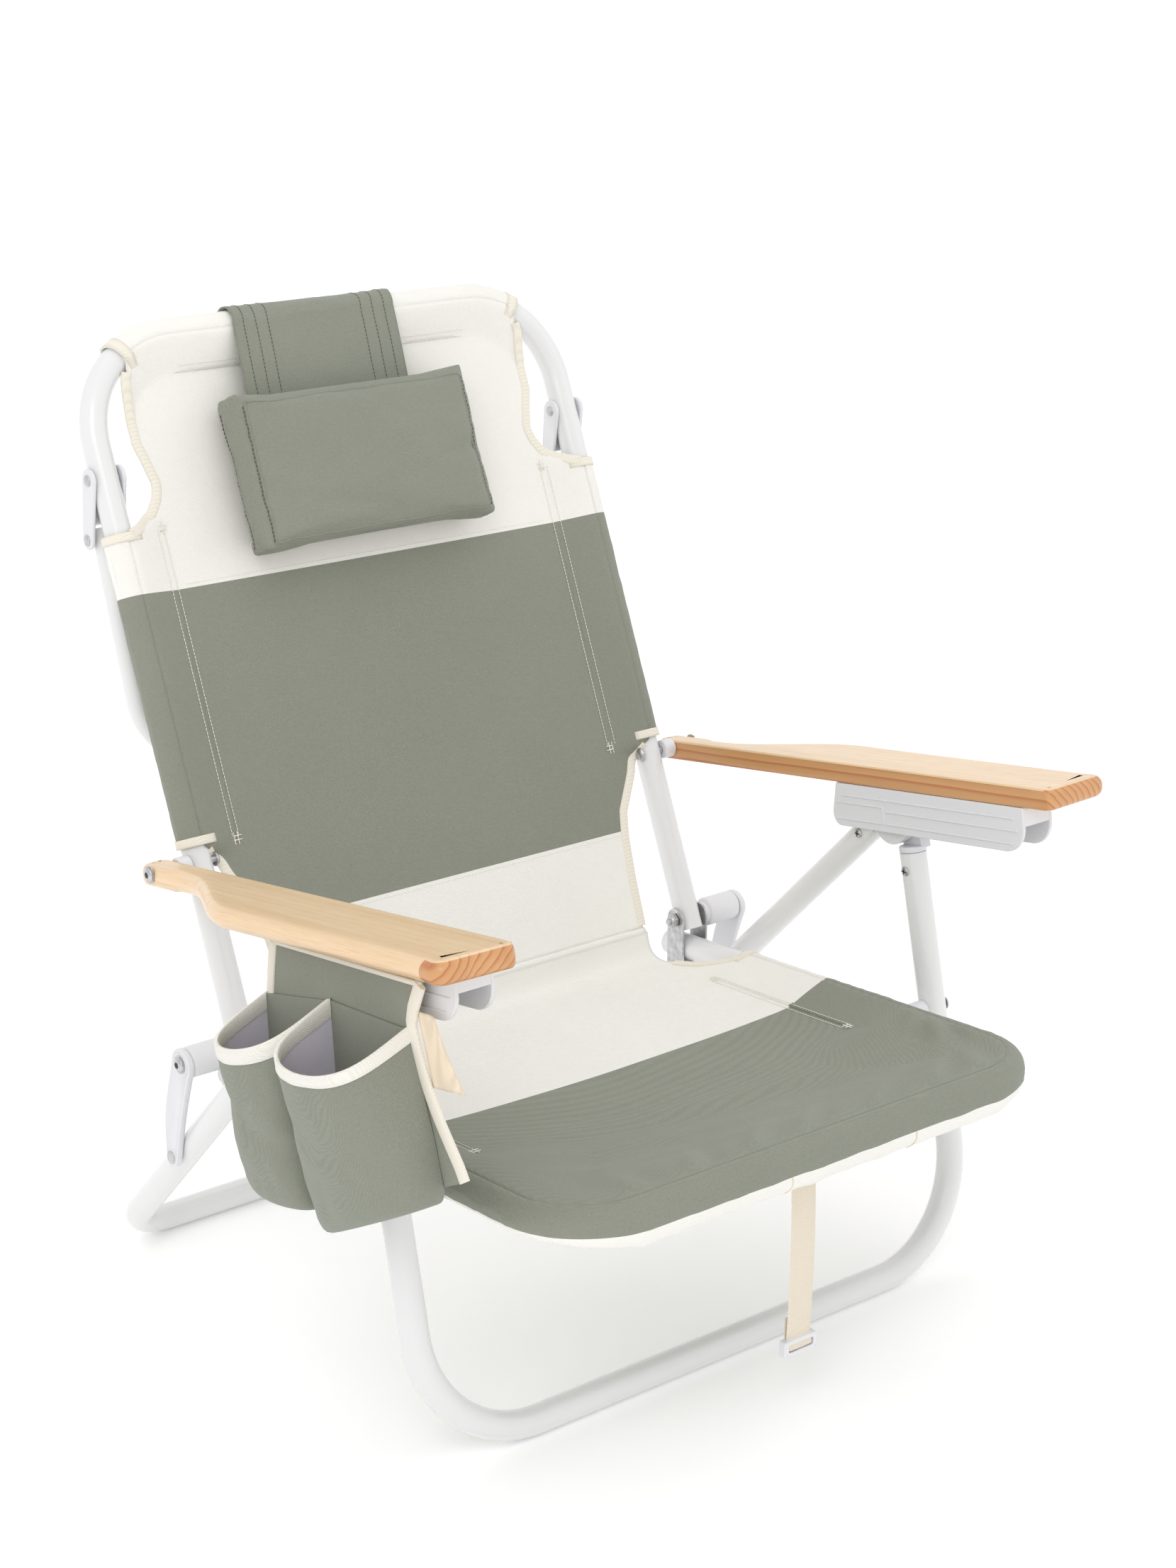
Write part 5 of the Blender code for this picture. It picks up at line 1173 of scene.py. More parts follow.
# stitching on the back
m = Mesh()
for sx in (-1, 1):
    for xs in (0.1960, 0.2030):
        path = [BP(sx * xs, 0.170 + 0.262 * k / 60, back_sag(sx * xs, 0.17 + 0.262 * k / 60) + 0.0010) for k in range(61)]
        stitches(m, path, BN)
    for vb in (0.1680, 0.4330):
        bartack(m, BP(sx * 0.1990, vb, back_sag(sx * 0.199, vb) + 0.0012), XV, BU, BN)
for vv in (0.5605, 0.5655):
    path = []
    for k in range(90):
        x = -0.1480 + 0.2960 * k / 89
        path.append(BP(x, vv, back_sag(x, vv) + 0.0010))
    stitches(m, path, BN)
for vv in (0.0880, 0.3835):
    path = [BP(-0.188 + 0.376 * k / 80, vv, back_sag(-0.188 + 0.376 * k / 80, vv) + 0.0007) for k in range(81)]
    stitches(m, path, BN, pitch=0.0036, r=0.00022)
make("back_stitching", m, [M_THREAD], "back", (), weld=False)

# welt along the hinge line, where the back and seat cloths meet
m = Mesh()
path = [G(-0.1870 + 0.374 * k / 60, HINGE[0] + 0.0004 * nz(k * 0.4, 1), HINGE[1] - 0.0008 + 0.0005 * nz(k * 0.3, 4)) for k in range(61)]
rows = tube_rows(path, Vector((0, 0, 1)), 0.0030, 14)
m.grid(rows, closed=True)
m.cap(rows[0])
m.cap(rows[-1])
make("seat_back_welt", m, [M_WHITE], "seat", (), angle=0)

# --------------------------------------------------------------------------
# seat sling
# --------------------------------------------------------------------------
SEDGE = [(0.0, 0.2385), (0.1650, 0.2385), (0.2050, 0.2374), (0.3660, 0.2374), (0.3760, 0.2235), (0.3850, 0.2160), (0.4000, 0.2060), (0.4200, 0.2000), (0.4400, 0.1940), (0.4600, 0.1880)]
Y_COL = 0.2670


def y_front(x):
    d = max(0.0, abs(x) - (HB - SEAT_R))
    return SEAT_FRONT_Y + (SEAT_R - math.sqrt(max(0.0, SEAT_R ** 2 - d ** 2)))


def tube_gap(x, y):
    """Distance inwards from the seat tube's centre line."""
    dx = abs(x) - (HB - SEAT_R)
    dy = SEAT_FRONT_Y + SEAT_R - y
    if dx > 0.0 and dy > 0.0:
        return SEAT_R - math.hypot(dx, dy)
    return min(y - SEAT_FRONT_Y, HB - abs(x))


def seat_height(x, y):
    u_ = max(0.0, 1.0 - (x / 0.225) ** 2)
    t = max(0.0, min(1.0, (y - 0.03) / 0.40))
    h = -0.0075 * u_ * math.sin(math.pi * t) ** 0.8 if 0.0 < t < 1.0 else 0.0
    h += 0.0011 * nz(x * 8.0, y * 7.0, 3.0) * u_
    # gathers running back from the front bar and across the front third
    f = math.exp(-((y - 0.045) / 0.060) ** 2)
    h += 0.0022 * f * nz(x * 26.0 + y * 6.0, y * 9.0, 31.0)
    g = math.exp(-((y - 0.110) / 0.090) ** 2)
    h += 0.0016 * g * nz(x * 6.0, y * 34.0 + x * 9.0, 37.0) * u_
    h += 0.0012 * nz(x * 5.0 - y * 9.0, y * 20.0, 43.0) * u_ * sstep(0.30, 0.42, y)
    q = max(0.0, tube_gap(x, y))
    f = 1.0 - sstep(0.150, 0.200, y)
    smooth = 0.0136 * (1.0 - sstep(0.002, 0.120, q))
    # pinched folds that start at the front edge and die out behind it
    for cx, lean, wd, amp in ((-0.118, 0.6, 0.010, 0.0030), (-0.060, 0.9, 0.012, 0.0034), (-0.015, 1.1, 0.010, 0.0026), (0.060, 1.3, 0.011, 0.0034),
                              (0.128, 1.0, 0.012, 0.0034), (0.180, 0.4, 0.011, 0.0026), (-0.170, 0.2, 0.010, 0.0024)):
        ed = sstep(0.0005, 0.0120, q)
        smooth += ed * amp * math.exp(-((x - cx - lean * (y - 0.02)) / wd) ** 2) * math.exp(-((q - 0.020) / 0.024) ** 2)
        smooth -= 0.9 * ed * amp * math.exp(-((x - cx - 0.018 - lean * (y - 0.02)) / (wd * 1.2)) ** 2) * math.exp(-((q - 0.026) / 0.028) ** 2)
    if q < 0.003:
        smooth -= 0.0010 * (1.0 - q / 0.003)
    side = cover(HB - abs(x), 0.0435)
    h = h * sstep(0.0, 0.06, q) + smooth * f + side * (1.0 - f)
    return h


def seat_line(t):
    """Middle line of the seat cloth from front (0) to the hinge (1): (y, z, straight part or not)."""
    if t <= 0.92:
        return None
    q = (t - 0.92) / 0.08
    p0, p1, p2, p3 = Vector((0.4250, seat_z(0.4250))), Vector((0.4470, seat_z(0.4470) - 0.001)), Vector((0.4530, 0.2040)), Vector((0.4550, 0.2240))
    a = (1 - q) ** 3 * p0 + 3 * (1 - q) ** 2 * q * p1 + 3 * (1 - q) * q * q * p2 + q ** 3 * p3
    return a


rows, meta = [], []
NY, NX = 150, 110
ts = [i / NY for i in range(NY + 1)]
Y0 = SEAT_FRONT_Y
y_of = lambda t: Y0 + (0.4250 - Y0) * t / 0.92
k = min(range(len(ts)), key=lambda i: abs(y_of(ts[i]) - Y_COL))
ts[k] = (Y_COL - Y0) / (0.4250 - Y0) * 0.92
for t in ts:
    a = seat_line(t)
    y = y_of(t) if a is None else a.x
    w = lerp_knots(SEDGE, y)
    row = []
    for j in range(NX + 1):
        x = w * (2 * j / NX - 1)
        yy = y + (y_front(x) - Y0) * (1.0 - sstep(Y0, 0.1700, y)) if a is None else y
        if a is None:
            row.append(SP(x, yy, seat_height(x, yy)))
        else:
            row.append(G(x, a.x, a.y) + SU * seat_height(x, 0.425) * (1 - (t - 0.92) / 0.08))
    rows.append(row)
    meta.append(y)
m = Mesh()
m.grid(rows, pick=lambda i, j: 1 if (meta[i] + meta[i + 1]) / 2 < Y_COL and ts[i] < 0.92 else 0)
seat_panel = make("seat_sling", m, [M_WHITE, M_GREEN], "seat", ["seat_fabric"], solid=0.0012, angle=0)

# sleeve round the seat tube
st = []
Rc = SEAT_R
path = []
for k in range(60):
    path.append((-HB, 0.3720 - (0.3720 - (SEAT_FRONT_Y + Rc)) * k / 60, Vector((1, 0, 0))))
for k in range(25):
    a = math.radians(90 * k / 24)
    path.append((-HB + Rc - Rc * math.cos(a), SEAT_FRONT_Y + Rc - Rc * math.sin(a), Vector((math.cos(a), math.sin(a), 0))))
nb = 64
for k in range(1, nb):
    path.append((-HB + Rc + (2 * HB - 2 * Rc) * k / nb, SEAT_FRONT_Y, Vector((0, 1, 0))))
for k in range(25):
    a = math.radians(90 * k / 24)
    path.append((HB - Rc + Rc * math.sin(a), SEAT_FRONT_Y + Rc - Rc * math.cos(a), Vector((-math.sin(a), math.cos(a), 0))))
for k in range(1, 61):
    path.append((HB, SEAT_FRONT_Y + Rc + (0.3720 - (SEAT_FRONT_Y + Rc)) * k / 60, Vector((-1, 0, 0))))
for i, (x, y, iv) in enumerate(path):
    inward = (XV * iv.x + SD * iv.y).normalized()
    L = 0.0435 if abs(iv.x) > 0.7 else 0.0300
    L = 0.0435 * abs(iv.x) + 0.0290 * (1 - abs(iv.x))
    st.append((SP(x, y), inward, SU, L, x * 0.7 + y, y, abs(iv.x), x))
prof0 = sleeve_profile(0.0435, R_SL)


def seat_pick(a, g, j):
    y, ix = a[5], a[6]
    if y > Y_COL:
        return 0
    ang = g[0] if g[0] is not None else g[1]
    if g[0] is None and g[1] is None:
        return 1 if j < 8 else 0
    ang = (g[0] if g[0] is not None else g[1])
    if ang is None:
        return 1
    return 1 if ang < 200 else 0


def seat_skip(a, g, j):
    y, ix = a[5], a[6]
    if ix > 0.9 and 0.1560 < y < 0.2060 and g[0] is not None and g[1] is not None:
        return 128 < (g[0] + g[1]) / 2 < 232
    return False


m = Mesh()
rows, angs = [], None
for c, i_, n_, L, s_, y, ix, x in st:
    prof = sleeve_profile(L, R_SL, sag=0.0006)
    row = []
    for k, (a, b, ang) in enumerate(prof):
        front = 1.0 - ix
        wob = (0.0005 + 0.0009 * front) * nz(s_ * 60.0, k * 0.30, 3.0) + 0.0006 * nz(s_ * 150.0, k * 0.5, 9.0)
        d = Vector((a, b))
        if ang is not None:
            low = max(0.0, -math.sin(math.radians(ang))) * front
            shy = 1.0 - sstep(76.0, 91.0, ang)
            d = d * (1 + sstep(90.0, 120.0, ang) * max(-0.015, wob / R_SL) + 0.78 * low ** 1.3 - 0.10 * shy)
        else:
            d.y += (wob * 0.6 - 0.0040 * front) if k > 20 else -0.0013
        row.append(c + i_ * d.x + n_ * d.y)
    rows.append(row)
angs = [q[2] for q in prof0]
m.grid(rows, pick=lambda i, j: seat_pick(st[i], (angs[j], angs[j + 1]), j), skip=lambda i, j: seat_skip(st[i], (angs[j], angs[j + 1]), j))
make("seat_sleeve", m, [M_WHITE, M_GREEN], "seat", (), solid=0.0009, angle=0)

m = Mesh()
for sx in (-1, 1):
    for xs, dh in ((0.1910, 0.0009), (0.1975, 0.0010)):
        path = [SP(sx * xs, 0.196 + 0.170 * k / 60, seat_height(sx * xs, 0.196 + 0.170 * k / 60) + dh) for k in range(61)]
        stitches(m, path, SU)
    bartack(m, SP(sx * 0.1950, 0.1930, seat_height(sx * 0.195, 0.193) + 0.0016), XV, SD, SU)
    bartack(m, SP(sx * 0.1950, 0.3660, seat_height(sx * 0.195, 0.366) + 0.0016), XV, SD, SU)
make("seat_stitching", m, [M_THREAD], "seat", (), weld=False)
m = Mesh()
for cx in (-0.0420, 0.0860):
    c_ = SP(cx, SEAT_FRONT_Y)
    path = []
    for k in range(12):
        a = math.radians(204 + 70 * k / 11)
        rr = R_SL * (1 + 0.78 * max(0.0, -math.sin(a)) ** 1.3) + 0.0007
        path.append(c_ + (SD * math.cos(a) + SU * math.sin(a)) * rr + XV * 0.0012 * math.sin(k * 0.5))
    stitches(m, path, Vector((0, 0, 0)), lift=0.0, pitch=0.0026, r=0.00030)
make("seat_front_stitching", m, [M_THREAD_T], "seat", (), weld=False)
# bound rear ends of the seat sleeve and the curved cut-outs behind them
for s, sx in SIDES:
    m = Mesh()
    stt = [(SP(sx * HB, 0.3725 - 0.0075 * k / 4), XV * -sx, SU, 0.040, 0.37) for k in range(5)]
    sleeve(m, stt, R_SL + 0.0010, seed=7.0, rough=0.0002, under=-0.06, skip=lambda a, g, j: j < 4 or j > 32)
    path = []
    for k in range(20):
        y = 0.3640 + (0.4250 - 0.3640) * k / 19
        x = sx * (lerp_knots(SEDGE, y) - 0.0010)
        path.append(SP(x, y, seat_height(x, y)))
    make("seat_sleeve_hem_" + s, m, [M_BINDING], "seat", (), solid=0.0010, angle=0)
    m = Mesh()
    ribbon(m, path, SU, 0.0090, 0.0030, sides=12)
    make("seat_binding_" + s, m, [M_BINDING], "seat", (), angle=60)

# --------------------------------------------------------------------------
# headrest: stuffed pillow and its flap over the top bar
# --------------------------------------------------------------------------
PX0, PX1, PV0, PV1, PN0, PN1 = -0.1250, 0.1110, 0.3920, 0.5250, 0.0040, 0.0480


def pillow_start():
    """A boxed cushion before it is filled."""
    m = Mesh()
    xs = [PX0 - 0.0040 + (PX1 - PX0 + 0.0100) * k / 28 for k in range(29)]
    vs = [PV0 + 0.0005 + (PV1 - PV0 + 0.0045) * k / 16 for k in range(17)]
    ns = [PN0 + 0.004 + (PN1 - PN0 - 0.010) * k / 4 for k in range(5)]
    m.grid([[BP(x, v, ns[0]) for x in xs] for v in vs])
    m.grid([[BP(x, v, ns[-1]) for x in xs] for v in vs])
    for x in (xs[0], xs[-1]):
        m.grid([[BP(x, v, n_) for v in vs] for n_ in ns])
    for v in (vs[0], vs[-1]):
        m.grid([[BP(x, v, n_) for x in xs] for n_ in ns])
    return m


m = pillow_start()
pillow = make("headrest_cushion", m, [M_GREEN_BACK], None, (), angle=0)
bpy.context.view_layer.objects.active = pillow
rm = pillow.modifiers.new("remesh", "REMESH")
rm.mode = "VOXEL"
rm.voxel_size = 0.005
dg = bpy.context.evaluated_depsgraph_get()
me = bpy.data.meshes.new_from_object(pillow.evaluated_get(dg))
pillow.modifiers.clear()
pillow.data = me
rest_co = [v.co.copy() for v in me.vertices]
cl = pillow.modifiers.new("cloth", "CLOTH")
cs = cl.settings
cs.use_pressure = True
cs.uniform_pressure_force = 4.0
cs.effector_weights.gravity = 0.0
cs.quality = 5
cs.mass = 0.3
cs.tension_stiffness = cs.compression_stiffness = 15.0
cs.shear_stiffness = 5.0
cs.bending_stiffness = 0.5
cl.point_cache.frame_start = 1
cl.point_cache.frame_end = 20
for f in range(1, 21):
    bpy.context.scene.frame_set(f)
dg = bpy.context.evaluated_depsgraph_get()
me2 = bpy.data.meshes.new_from_object(pillow.evaluated_get(dg))
pillow.modifiers.clear()
pillow.data = me2
bpy.context.scene.frame_set(1)
for v, r in zip(me2.vertices, rest_co):
    d = v.co - r
    if d.length > 0.0052:
        v.co = r + d.normalized() * 0.0052
# corner tucks, slack creases and the flat side that lies on the sling
inv = BP(0, 0, 0)
for v in pillow.data.vertices:
    rel = v.co - inv
    x, vv, nn = rel.x, rel.dot(BU), rel.dot(BN)
    u1 = (x - (PX0 + PX1) / 2) / ((PX1 - PX0) / 2)
    u2 = (vv - (PV0 + PV1) / 2) / ((PV1 - PV0) / 2)
    crown = max(0.0, 1 - u1 * u1) * max(0.0, 1 - u2 * u2)
    f = sstep(PN0 + 0.01, PN1 - 0.012, nn)
    dn = f * (0.0030 * crown - 0.0016 * (abs(u1) ** 6 + abs(u2) ** 6))
    dn += f * 0.0016 * nz(x * 22 + vv * 10, vv * 26 - x * 6, 5.0) + f * 0.0010 * nz(x * 60, vv * 50, 8.0)
    # creases running in from the right seam and up from the lower edge
    dn -= f * 0.0022 * math.exp(-((vv - 0.455 - 0.25 * (x - 0.09)) / 0.006) ** 2) * sstep(0.03, 0.10, x)
    dn -= f * 0.0018 * math.exp(-((vv - 0.418 + 0.22 * (x + 0.02)) / 0.007) ** 2) * (1 - sstep(0.02, 0.10, abs(x + 0.02)))
    nn2 = max(PN0 - 0.0004, nn + dn)
    v.co = BP(x, vv, nn2)
pillow.data.shade_smooth()
ss = pillow.modifiers.new("smooth", "SUBSURF")
ss.levels = ss.render_levels = 1
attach(pillow, "headrest")
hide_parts("headrest_pillow")

bmp = bmesh.new()
bmp.from_mesh(pillow.data)
tree = BVHTree.FromBMesh(bmp)


def on_pillow(x, v, n_):
    loc, nrm, _, _ = tree.find_nearest(BP(x, v, n_))
    return loc, nrm


m = Mesh()
for x, n_a in ((PX0 + 0.0040, PN1 - 0.0040), (PX1 - 0.0040, PN1 - 0.0040)):
    pth = []
    for k in range(41):
        v = PV0 + 0.008 + (PV1 - PV0 - 0.016) * k / 40
        loc, nrm = on_pillow(x, v, n_a)
        pth.append(loc + nrm * 0.0004)
    stitches(m, pth, Vector((0, 0, 0)), pitch=0.0036, length=0.0022, r=0.00042, mat=0, lift=0.0)
for x in (PX0 + 0.0030,):
    pth = []
    for k in range(41):
        v = PV0 + 0.008 + (PV1 - PV0 - 0.016) * k / 40
        loc, nrm = on_pillow(x - 0.004, v, PN0 + 0.012)
        pth.append(loc + nrm * 0.0004)
    stitches(m, pth, Vector((0, 0, 0)), pitch=0.0036, length=0.0022, r=0.00042, mat=0, lift=0.0)
make("cushion_stitching", m, [M_THREAD_D], "headrest", (), weld=False)
# welted seams round the front face
m = Mesh()
loop = []
for k in range(40):
    loop.append((PX0 + 0.006 + (PX1 - PX0 - 0.012) * k / 40, PV1 - 0.004))
for k in range(24):
    loop.append((PX1 - 0.005, PV1 - 0.006 - (PV1 - PV0 - 0.012) * k / 24))
for k in range(40):
    loop.append((PX1 - 0.006 - (PX1 - PX0 - 0.012) * k / 40, PV0 + 0.004))
for k in range(24):
    loop.append((PX0 + 0.005, PV0 + 0.006 + (PV1 - PV0 - 0.012) * k / 24))
pts = []
for x, v in loop:
    loc, nrm = on_pillow(x, v, PN1 - 0.002)
    pts.append(loc - nrm * 0.0002)
rows = []
for i in range(len(pts) + 1):
    a, b, c = pts[i % len(pts)], pts[(i + 1) % len(pts)], pts[i - 1 if i else -1]
    t = (b - c).normalized()
    s_ = t.orthogonal().normalized() if abs(t.dot(BN)) > 0.95 else t.cross(BN).normalized()
    q = t.cross(s_)
    rows.append([a + (s_ * math.cos(2 * math.pi * j / 8) + q * math.sin(2 * math.pi * j / 8)) * 0.0010 for j in range(8)])
m.grid(rows, closed=True)
make("cushion_welt", m, [M_GREEN_BACK], "headrest", (), angle=0)

# flap: over the bar, down behind, held by three rows of stitching at each side
FX0, FX1 = -0.0920, 0.0720
prof = []
RF = R_SL + 0.0032
for k in range(10):
    v = PV1 - 0.0120 + (BACK_LEN - PV1 + 0.0120) * k / 10
    t = k / 10
    prof.append((v, 0.0150 + (RF - 0.0150) * sstep(0.0, 0.9, t)))
for k in range(25):
    a = math.radians(124 * k / 24)
    prof.append((BACK_LEN + RF * math.sin(a), RF * math.cos(a)))
rows = []
for k, (v, n_) in enumerate(prof):
    row = []
    t = k / (len(prof) - 1)
    for j in range(49):
        q = j / 48
        lean_x = -0.0040 * (1 - sstep(0.0, 0.6, t))
        x = FX0 + (FX1 - FX0) * q + lean_x
        dn = 0.0010 * nz(x * 24, t * 5.0, 3.0) + 0.0006 * nz(x * 60, t * 9.0, 8.0)
        edge = 0.0006 * (1 - sstep(0.0, 0.10, min(q, 1 - q)))
        ang = math.atan2(max(0.0, v - BACK_LEN), n_) if v > BACK_LEN - 0.02 else 0.0
        d = dn + edge
        if k >= 10:
            a = math.radians(124 * (k - 10) / 24)
            row.append(BP(x, v + d * math.sin(a), n_ + d * math.cos(a)))
        else:
            row.append(BP(x, v, n_ + d))
    rows.append(row)
m = Mesh()
m.grid(rows)
flap = make("headrest_flap_cloth", m, [M_GREEN_BACK], "headrest", ["headrest_flap"], solid=0.0014, angle=0)
m = Mesh()
for off in (0.010, 0.022, 0.034):
    for side in (0, 1):
        q = off / (FX1 - FX0) if side == 0 else 1 - off / (FX1 - FX0)
        j = min(47, int(q * 48))
        fr = q * 48 - j
        path = []
        for i in range(len(rows) - 2):
            a = rows[i][j].lerp(rows[i][j + 1], fr)
            tdir = (rows[i + 1][j] - rows[i][j]).normalized()
            nrm = XV.cross(tdir).normalized()
            if nrm.dot(BN) < 0 and i < 12:
                nrm = -nrm
            path.append(a + nrm * 0.0010)
        stitches(m, path, Vector((0, 0, 0)), lift=0.0, pitch=0.0034, r=0.00026)
make("flap_stitching", m, [M_THREAD_D], "headrest", (), weld=False)

# --------------------------------------------------------------------------
# armrest organiser
# --------------------------------------------------------------------------
OX = 0.3065
ARM_BODY = "armrest_left"


def arm_under(y):
    sv = (ARM_PIVOT[0] - y) / math.cos(ARM_SLOPE)
    return ARM_PIVOT[1] + AF.z * sv - (ARM_T / 2 + ARM_DROP) / math.cos(ARM_SLOPE)


def panel_x(y, z):
    return -OX - 0.0008 + 0.0006 * nz(y * 14, z * 12, 2.0)


TOPL = [(0.2890, 0.3888), (0.0975, 0.4170)]
REAR = [(0.2890, 0.3888), (0.2925, 0.3700), (0.2958, 0.3450), (0.2955, 0.3000), (0.2930, 0.2400), (0.2890, 0.1900)]
FRONT = [(0.0975, 0.4170), (0.1065, 0.3960), (0.1090, 0.3840), (0.1055, 0.3720), (0.0985, 0.3570), (0.0880, 0.3370), (0.0765, 0.3210),
         (0.0640, 0.3065), (0.0530, 0.2940), (0.0470, 0.2850)]


def along(poly, t):
    seg = [math.dist(poly[i], poly[i + 1]) for i in range(len(poly) - 1)]
    s_ = t * sum(seg)
    for i, l in enumerate(seg):
        if s_ <= l or i == len(seg) - 1:
            k = min(1.0, s_ / l)
            return (poly[i][0] + (poly[i + 1][0] - poly[i][0]) * k, poly[i][1] + (poly[i + 1][1] - poly[i][1]) * k)
        s_ -= l


rows = []
for i in range(41):
    t = i / 40
    a, b = along(REAR, t), along(FRONT, t)
    row = []
    for j in range(37):
        q = j / 36
        y, z = a[0] + (b[0] - a[0]) * q, a[1] + (b[1] - a[1]) * q
        z -= 0.012 * math.sin(math.pi * q) * t
        row.append(G(panel_x(y, z), y, z))
    rows.append(row)
m = Mesh()
m.grid(rows)
org = make("organiser_back", m, [M_GREEN], ARM_BODY, ["organiser_panel"], solid=0.0012, angle=0)

# bindings along the panel's edges
m = Mesh()
NO = Vector((-1, 0, 0))
pth = [G(-OX - 0.0008, *along(FRONT, k / 40)) for k in range(41)]
ribbon(m, pth, NO, 0.0112, 0.0044)
pth = [G(-OX - 0.0008, *along(REAR, k / 30 * 0.40)) for k in range(31)]
ribbon(m, pth, NO, 0.0100, 0.0036)
pth = [G(-OX - 0.0008, TOPL[0][0] + (TOPL[1][0] - TOPL[0][0]) * k / 30, TOPL[0][1] + (TOPL[1][1] - TOPL[0][1]) * k / 30) for k in range(31)]
ribbon(m, pth, NO, 0.0040, 0.0030)
make("organiser_binding", m, [M_BINDING], ARM_BODY, (), angle=60)
# ribbed strip between the panel and the underside of the armrest
m = Mesh()
rows = []
for k in range(61):
    y = 0.2800 + (0.0990 - 0.2800) * k / 60
    zt = arm_under(y) - 0.0004
    zb = TOPL[0][1] + (TOPL[1][1] - TOPL[0][1]) * (0.2890 - y) / (0.2890 - 0.0975)
    rows.append([G(-OX - 0.0002 + 0.0035 * (1 - q) ** 2, y, zb + (zt - zb) * q) for q in (0, 0.2, 0.4, 0.6, 0.8, 1.0)])
m.grid(rows)
make("organiser_rib_strip", m, [M_RIBSTRIP], ARM_BODY, (), solid=0.0012, angle=0)


def cup_mesh(name, tr, tf, lr, lf, depth, low_depth, drop, node_name, seed):
    nb_, nf_ = 44, 14
    x_face = -OX - 0.0022
    width = math.dist(tr, tf)

    def ring(t, shrink, inset, wob=1.0):
        pts = []
        d = (depth + (low_depth - depth) * t) * shrink - inset
        for k in range(nb_ + nf_):
            if k < nb_:
                a = math.pi * k / (nb_ - 1)
                u_, w_ = 0.5 - 0.5 * math.cos(a), abs(math.sin(a)) ** 0.45
            else:
                u_, w_ = 1.0 - (k - nb_ + 1) / (nf_ + 1.0), 0.0
            mm = inset / width + (1.0 - shrink) * 0.35
            uu = mm + (1.0 - 2.0 * mm) * u_
            yt, zt = tr[0] + (tf[0] - tr[0]) * uu, tr[1] + (tf[1] - tr[1]) * uu
            yb, zb = lr[0] + (lf[0] - lr[0]) * uu, lr[1] + (lf[1] - lr[1]) * uu
            zt -= drop * w_
            dd = max(0.0, d - inset) * w_ if inset else d * w_
            y, z = yt + (yb - yt) * t, zt + (zb - zt) * t
            if w_ > 0:
                soft = w_ * (0.0028 * nz(u_ * 2.6 + seed, t * 3.2, seed) + 0.0013 * nz(u_ * 7.0, t * 8.0 + seed, seed + 3)) * wob
                soft -= 0.0022 * w_ * math.exp(-((t - 0.30 - 0.35 * u_) / 0.09) ** 2) * wob
                dd = max(0.0, dd + soft * sstep(0.0, 0.12, t) * (1 - sstep(0.93, 1.0, t)))
            pts.append(G(x_face - inset - dd if inset else x_face - dd, y, z))
        return pts

    m = Mesh()
    levels = [(i / 30, 1.0 - 0.05 * sstep(0.6, 0.9, i / 30)) for i in range(28)]
    levels += [(0.935, 0.93), (0.962, 0.90), (0.984, 0.85), (0.996, 0.78), (1.0, 0.70)]
    outer = [ring(t, k_, 0.0) for t, k_ in levels]
    m.grid(outer, closed=True, mat=0)
    m.cap(outer[-1], 0)
    inn = [ring(t, k_, 0.0013) for t, k_ in levels[:-2]]
    m.grid(inn, closed=True, pick=lambda i, j: 0 if j >= nb_ - 1 else 1)
    m.cap([p_ + Vector((0, 0, 0.0015)) for p_ in inn[-1]], 1)
    m.grid([outer[0], inn[0]], closed=True, pick=lambda i, j: 0 if j >= nb_ - 1 else 1)
    ob = make(name, m, [M_GREEN, M_LINING], ARM_BODY, [node_name], angle=70)
    # webbing band sewn over the rim, outside and inside
    m = Mesh()
    band = []
    hgt = 0.0128 / max(0.05, math.dist(tr, lr))
    o_ = [ring(hgt * k / 5, 1.0, 0.0) for k in range(6)]
    i_ = [ring(hgt * k / 5, 1.0, 0.0013) for k in range(6)]
    cen = sum((Vector(q) for q in o_[0]), Vector()) / len(o_[0])

    def push(row, amt, lift):
        out = []
        for k in range(len(row)):
            a, b = row[k - 1], row[(k + 1) % len(row)]
            t_dir = (b - a).normalized()
            nrm = t_dir.cross(Vector((0, 0, 1))).normalized()
            if nrm.dot(row[k] - cen) < 0:
                nrm = -nrm
            out.append(row[k] + nrm * amt + Vector((0, 0, lift)))
        return out

    rows = [push(o_[5], 0.0005, 0), push(o_[4], 0.0012, 0), push(o_[2], 0.0013, 0), push(o_[0], 0.0012, 0.0002), push(o_[0], 0.0003, 0.0013),
            push(i_[0], -0.0003, 0.0013), push(i_[0], -0.0011, 0.0002), push(i_[2], -0.0012, 0), push(i_[4], -0.0011, 0), push(i_[5], -0.0005, 0)]
    m.grid(rows, closed=True, skip=lambda i, j: j >= nb_ - 1)
    make(name + "_rim", m, [M_RIM], ARM_BODY, (), angle=60)
    m = Mesh()
    pth = push(o_[4], 0.0012, 0)[2:nb_ - 2]
    stitches(m, pth, Vector((0, 0, 0)), lift=0.0, pitch=0.0030, r=0.00022)
    base_ring = ring(0.972, 0.885, 0.0)
    pth = [q + Vector((-0.0003, 0, 0)) for q in base_ring[2:nb_ - 2]]
    make(name + "_stitching", m, [M_THREAD], ARM_BODY, (), weld=False)
    return ob


cup_mesh("cup_front", (0.2110, 0.3680), (0.1110, 0.3790), (0.1960, 0.1900), (0.0640, 0.2640), 0.0668, 0.0440, 0.0280, "cup_pocket_front", 4.0)
cup_mesh("cup_rear", (0.3000, 0.3440), (0.2125, 0.3670), (0.2920, 0.1960), (0.1995, 0.2060), 0.0620, 0.0440, 0.0270, "cup_pocket_rear", 9.0)

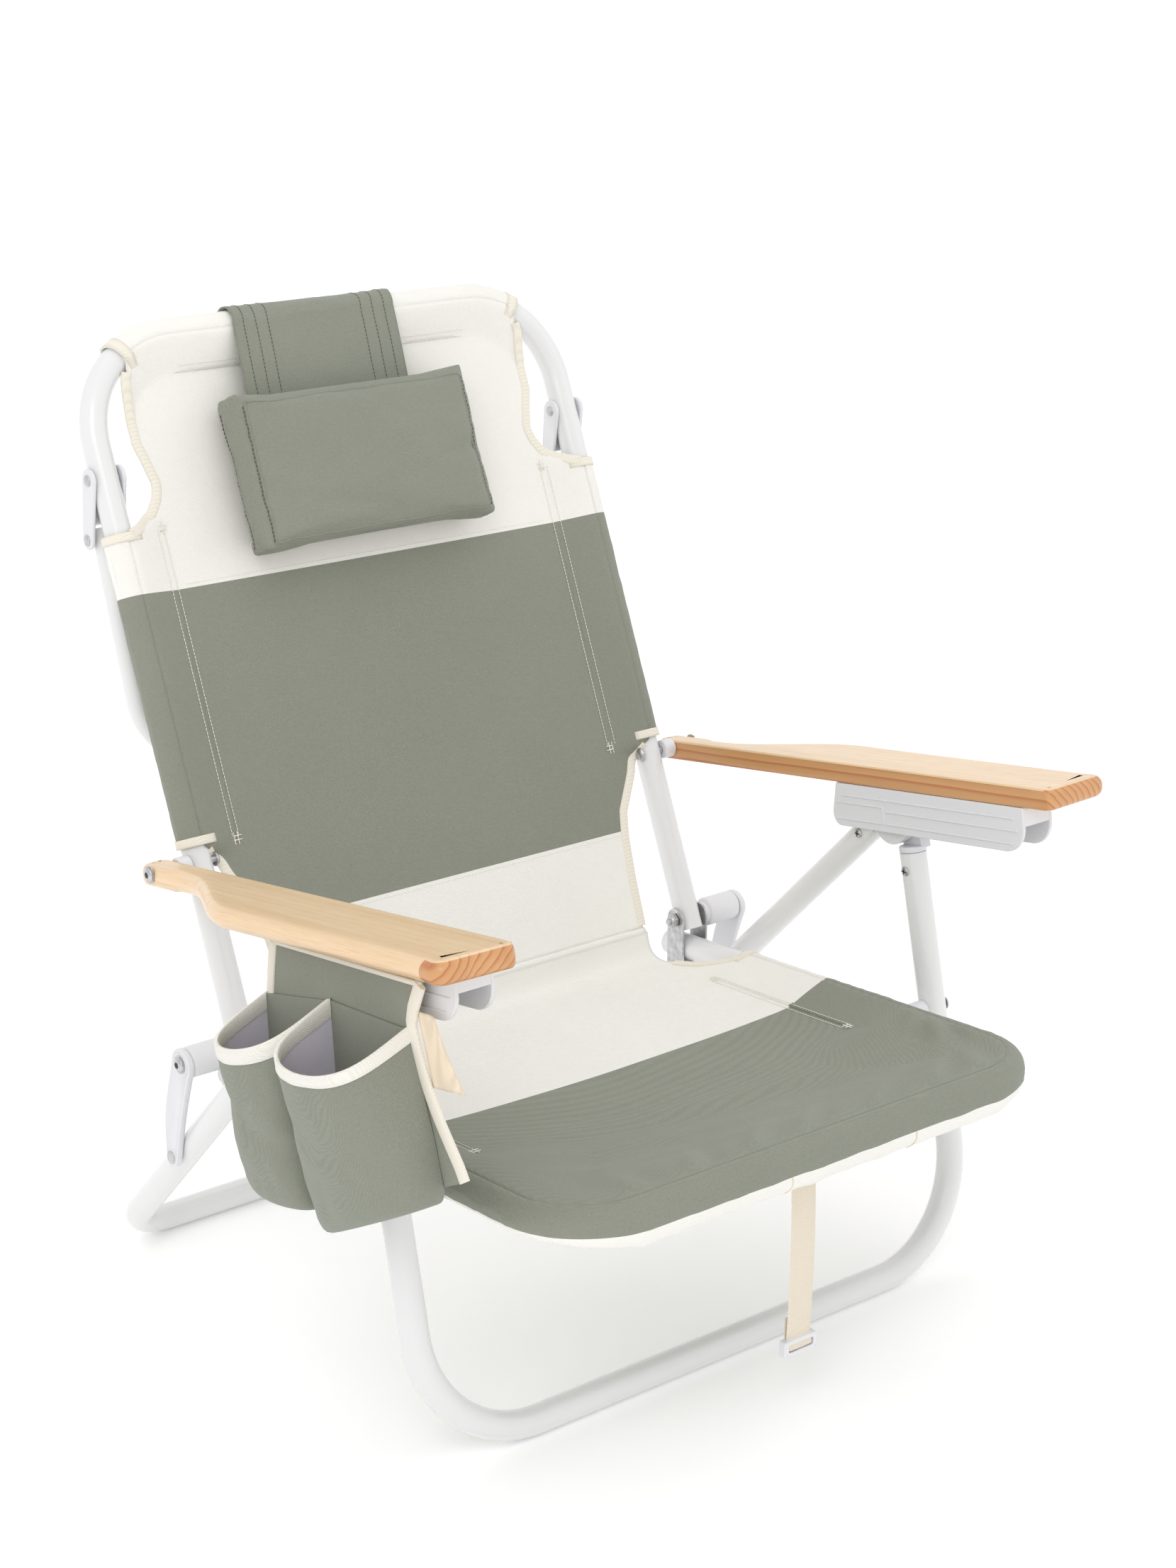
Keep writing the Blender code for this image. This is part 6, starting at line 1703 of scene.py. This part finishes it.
# blank cloth tab sewn into the front edge
rows = []
for i in range(19):
    t = i / 18
    a = Vector((0.1040 + (0.0860 - 0.1040) * t, 0.3945 + (0.3425 - 0.3945) * t))
    b = Vector((0.0845 + (0.0490 - 0.0845) * t, 0.3965 + (0.3500 - 0.3965) * t))
    row = []
    for j in range(9):
        q = j / 8
        y, z = a.x + (b.x - a.x) * q, a.y + (b.y - a.y) * q
        row.append(G(-OX + 0.0010 + 0.0009 * math.sin(3.0 * q + 4.0 * t) * q, y, z))
    rows.append(row)
m = Mesh()
m.grid(rows)
tab = make("blank_tab", m, [M_TAB], ARM_BODY, ["label_tab"], solid=0.0006, angle=0)

# --------------------------------------------------------------------------
# floor and light
# --------------------------------------------------------------------------
me = bpy.data.meshes.new("floor")
me.from_pydata([(-30, -30, 0), (30, -30, 0), (30, 30, 0), (-30, 30, 0)], [], [(0, 1, 2, 3)])
floor = bpy.data.objects.new("floor", me)
bpy.context.scene.collection.objects.link(floor)
fm, fnt, fb = new_mat("floor_plain")
fb.inputs["Base Color"].default_value = (0.95, 0.95, 0.95, 1)
fb.inputs["Emission Color"].default_value = (1, 1, 1, 1)
fb.inputs["Emission Strength"].default_value = 0.14
fb.inputs["Roughness"].default_value = 0.9
fb.inputs["Specular IOR Level"].default_value = 0.1
me.materials.append(fm)
floor.location.z = -0.0003

world = bpy.data.worlds.new("studio")
bpy.context.scene.world = world
world.use_nodes = True
bg = world.node_tree.nodes["Background"]
bg.inputs["Color"].default_value = (1.0, 1.0, 1.0, 1)
bg.inputs["Strength"].default_value = 1.0


def area(name, loc, target, size, power, color=(1, 1, 1)):
    l = bpy.data.lights.new(name, "AREA")
    l.shape = "RECTANGLE"
    l.size, l.size_y = size
    l.energy = power
    l.color = color
    ob = bpy.data.objects.new(name, l)
    bpy.context.scene.collection.objects.link(ob)
    ob.location = loc
    d = Vector(target) - Vector(loc)
    ob.rotation_euler = d.to_track_quat("-Z", "Y").to_euler()
    return ob


area("key", (-1.9, -1.6, 2.6), (0, 0, 0.35), (1.5, 1.5), 15)
area("fill", (2.4, -1.4, 1.6), (0, 0, 0.3), (1.8, 1.8), 2)
area("top", (0.2, 0.6, 2.8), (0, 0, 0.3), (2.0, 2.0), 4)
bpy.context.scene.view_settings.view_transform = "Standard"

bpy.context.view_layer.update()
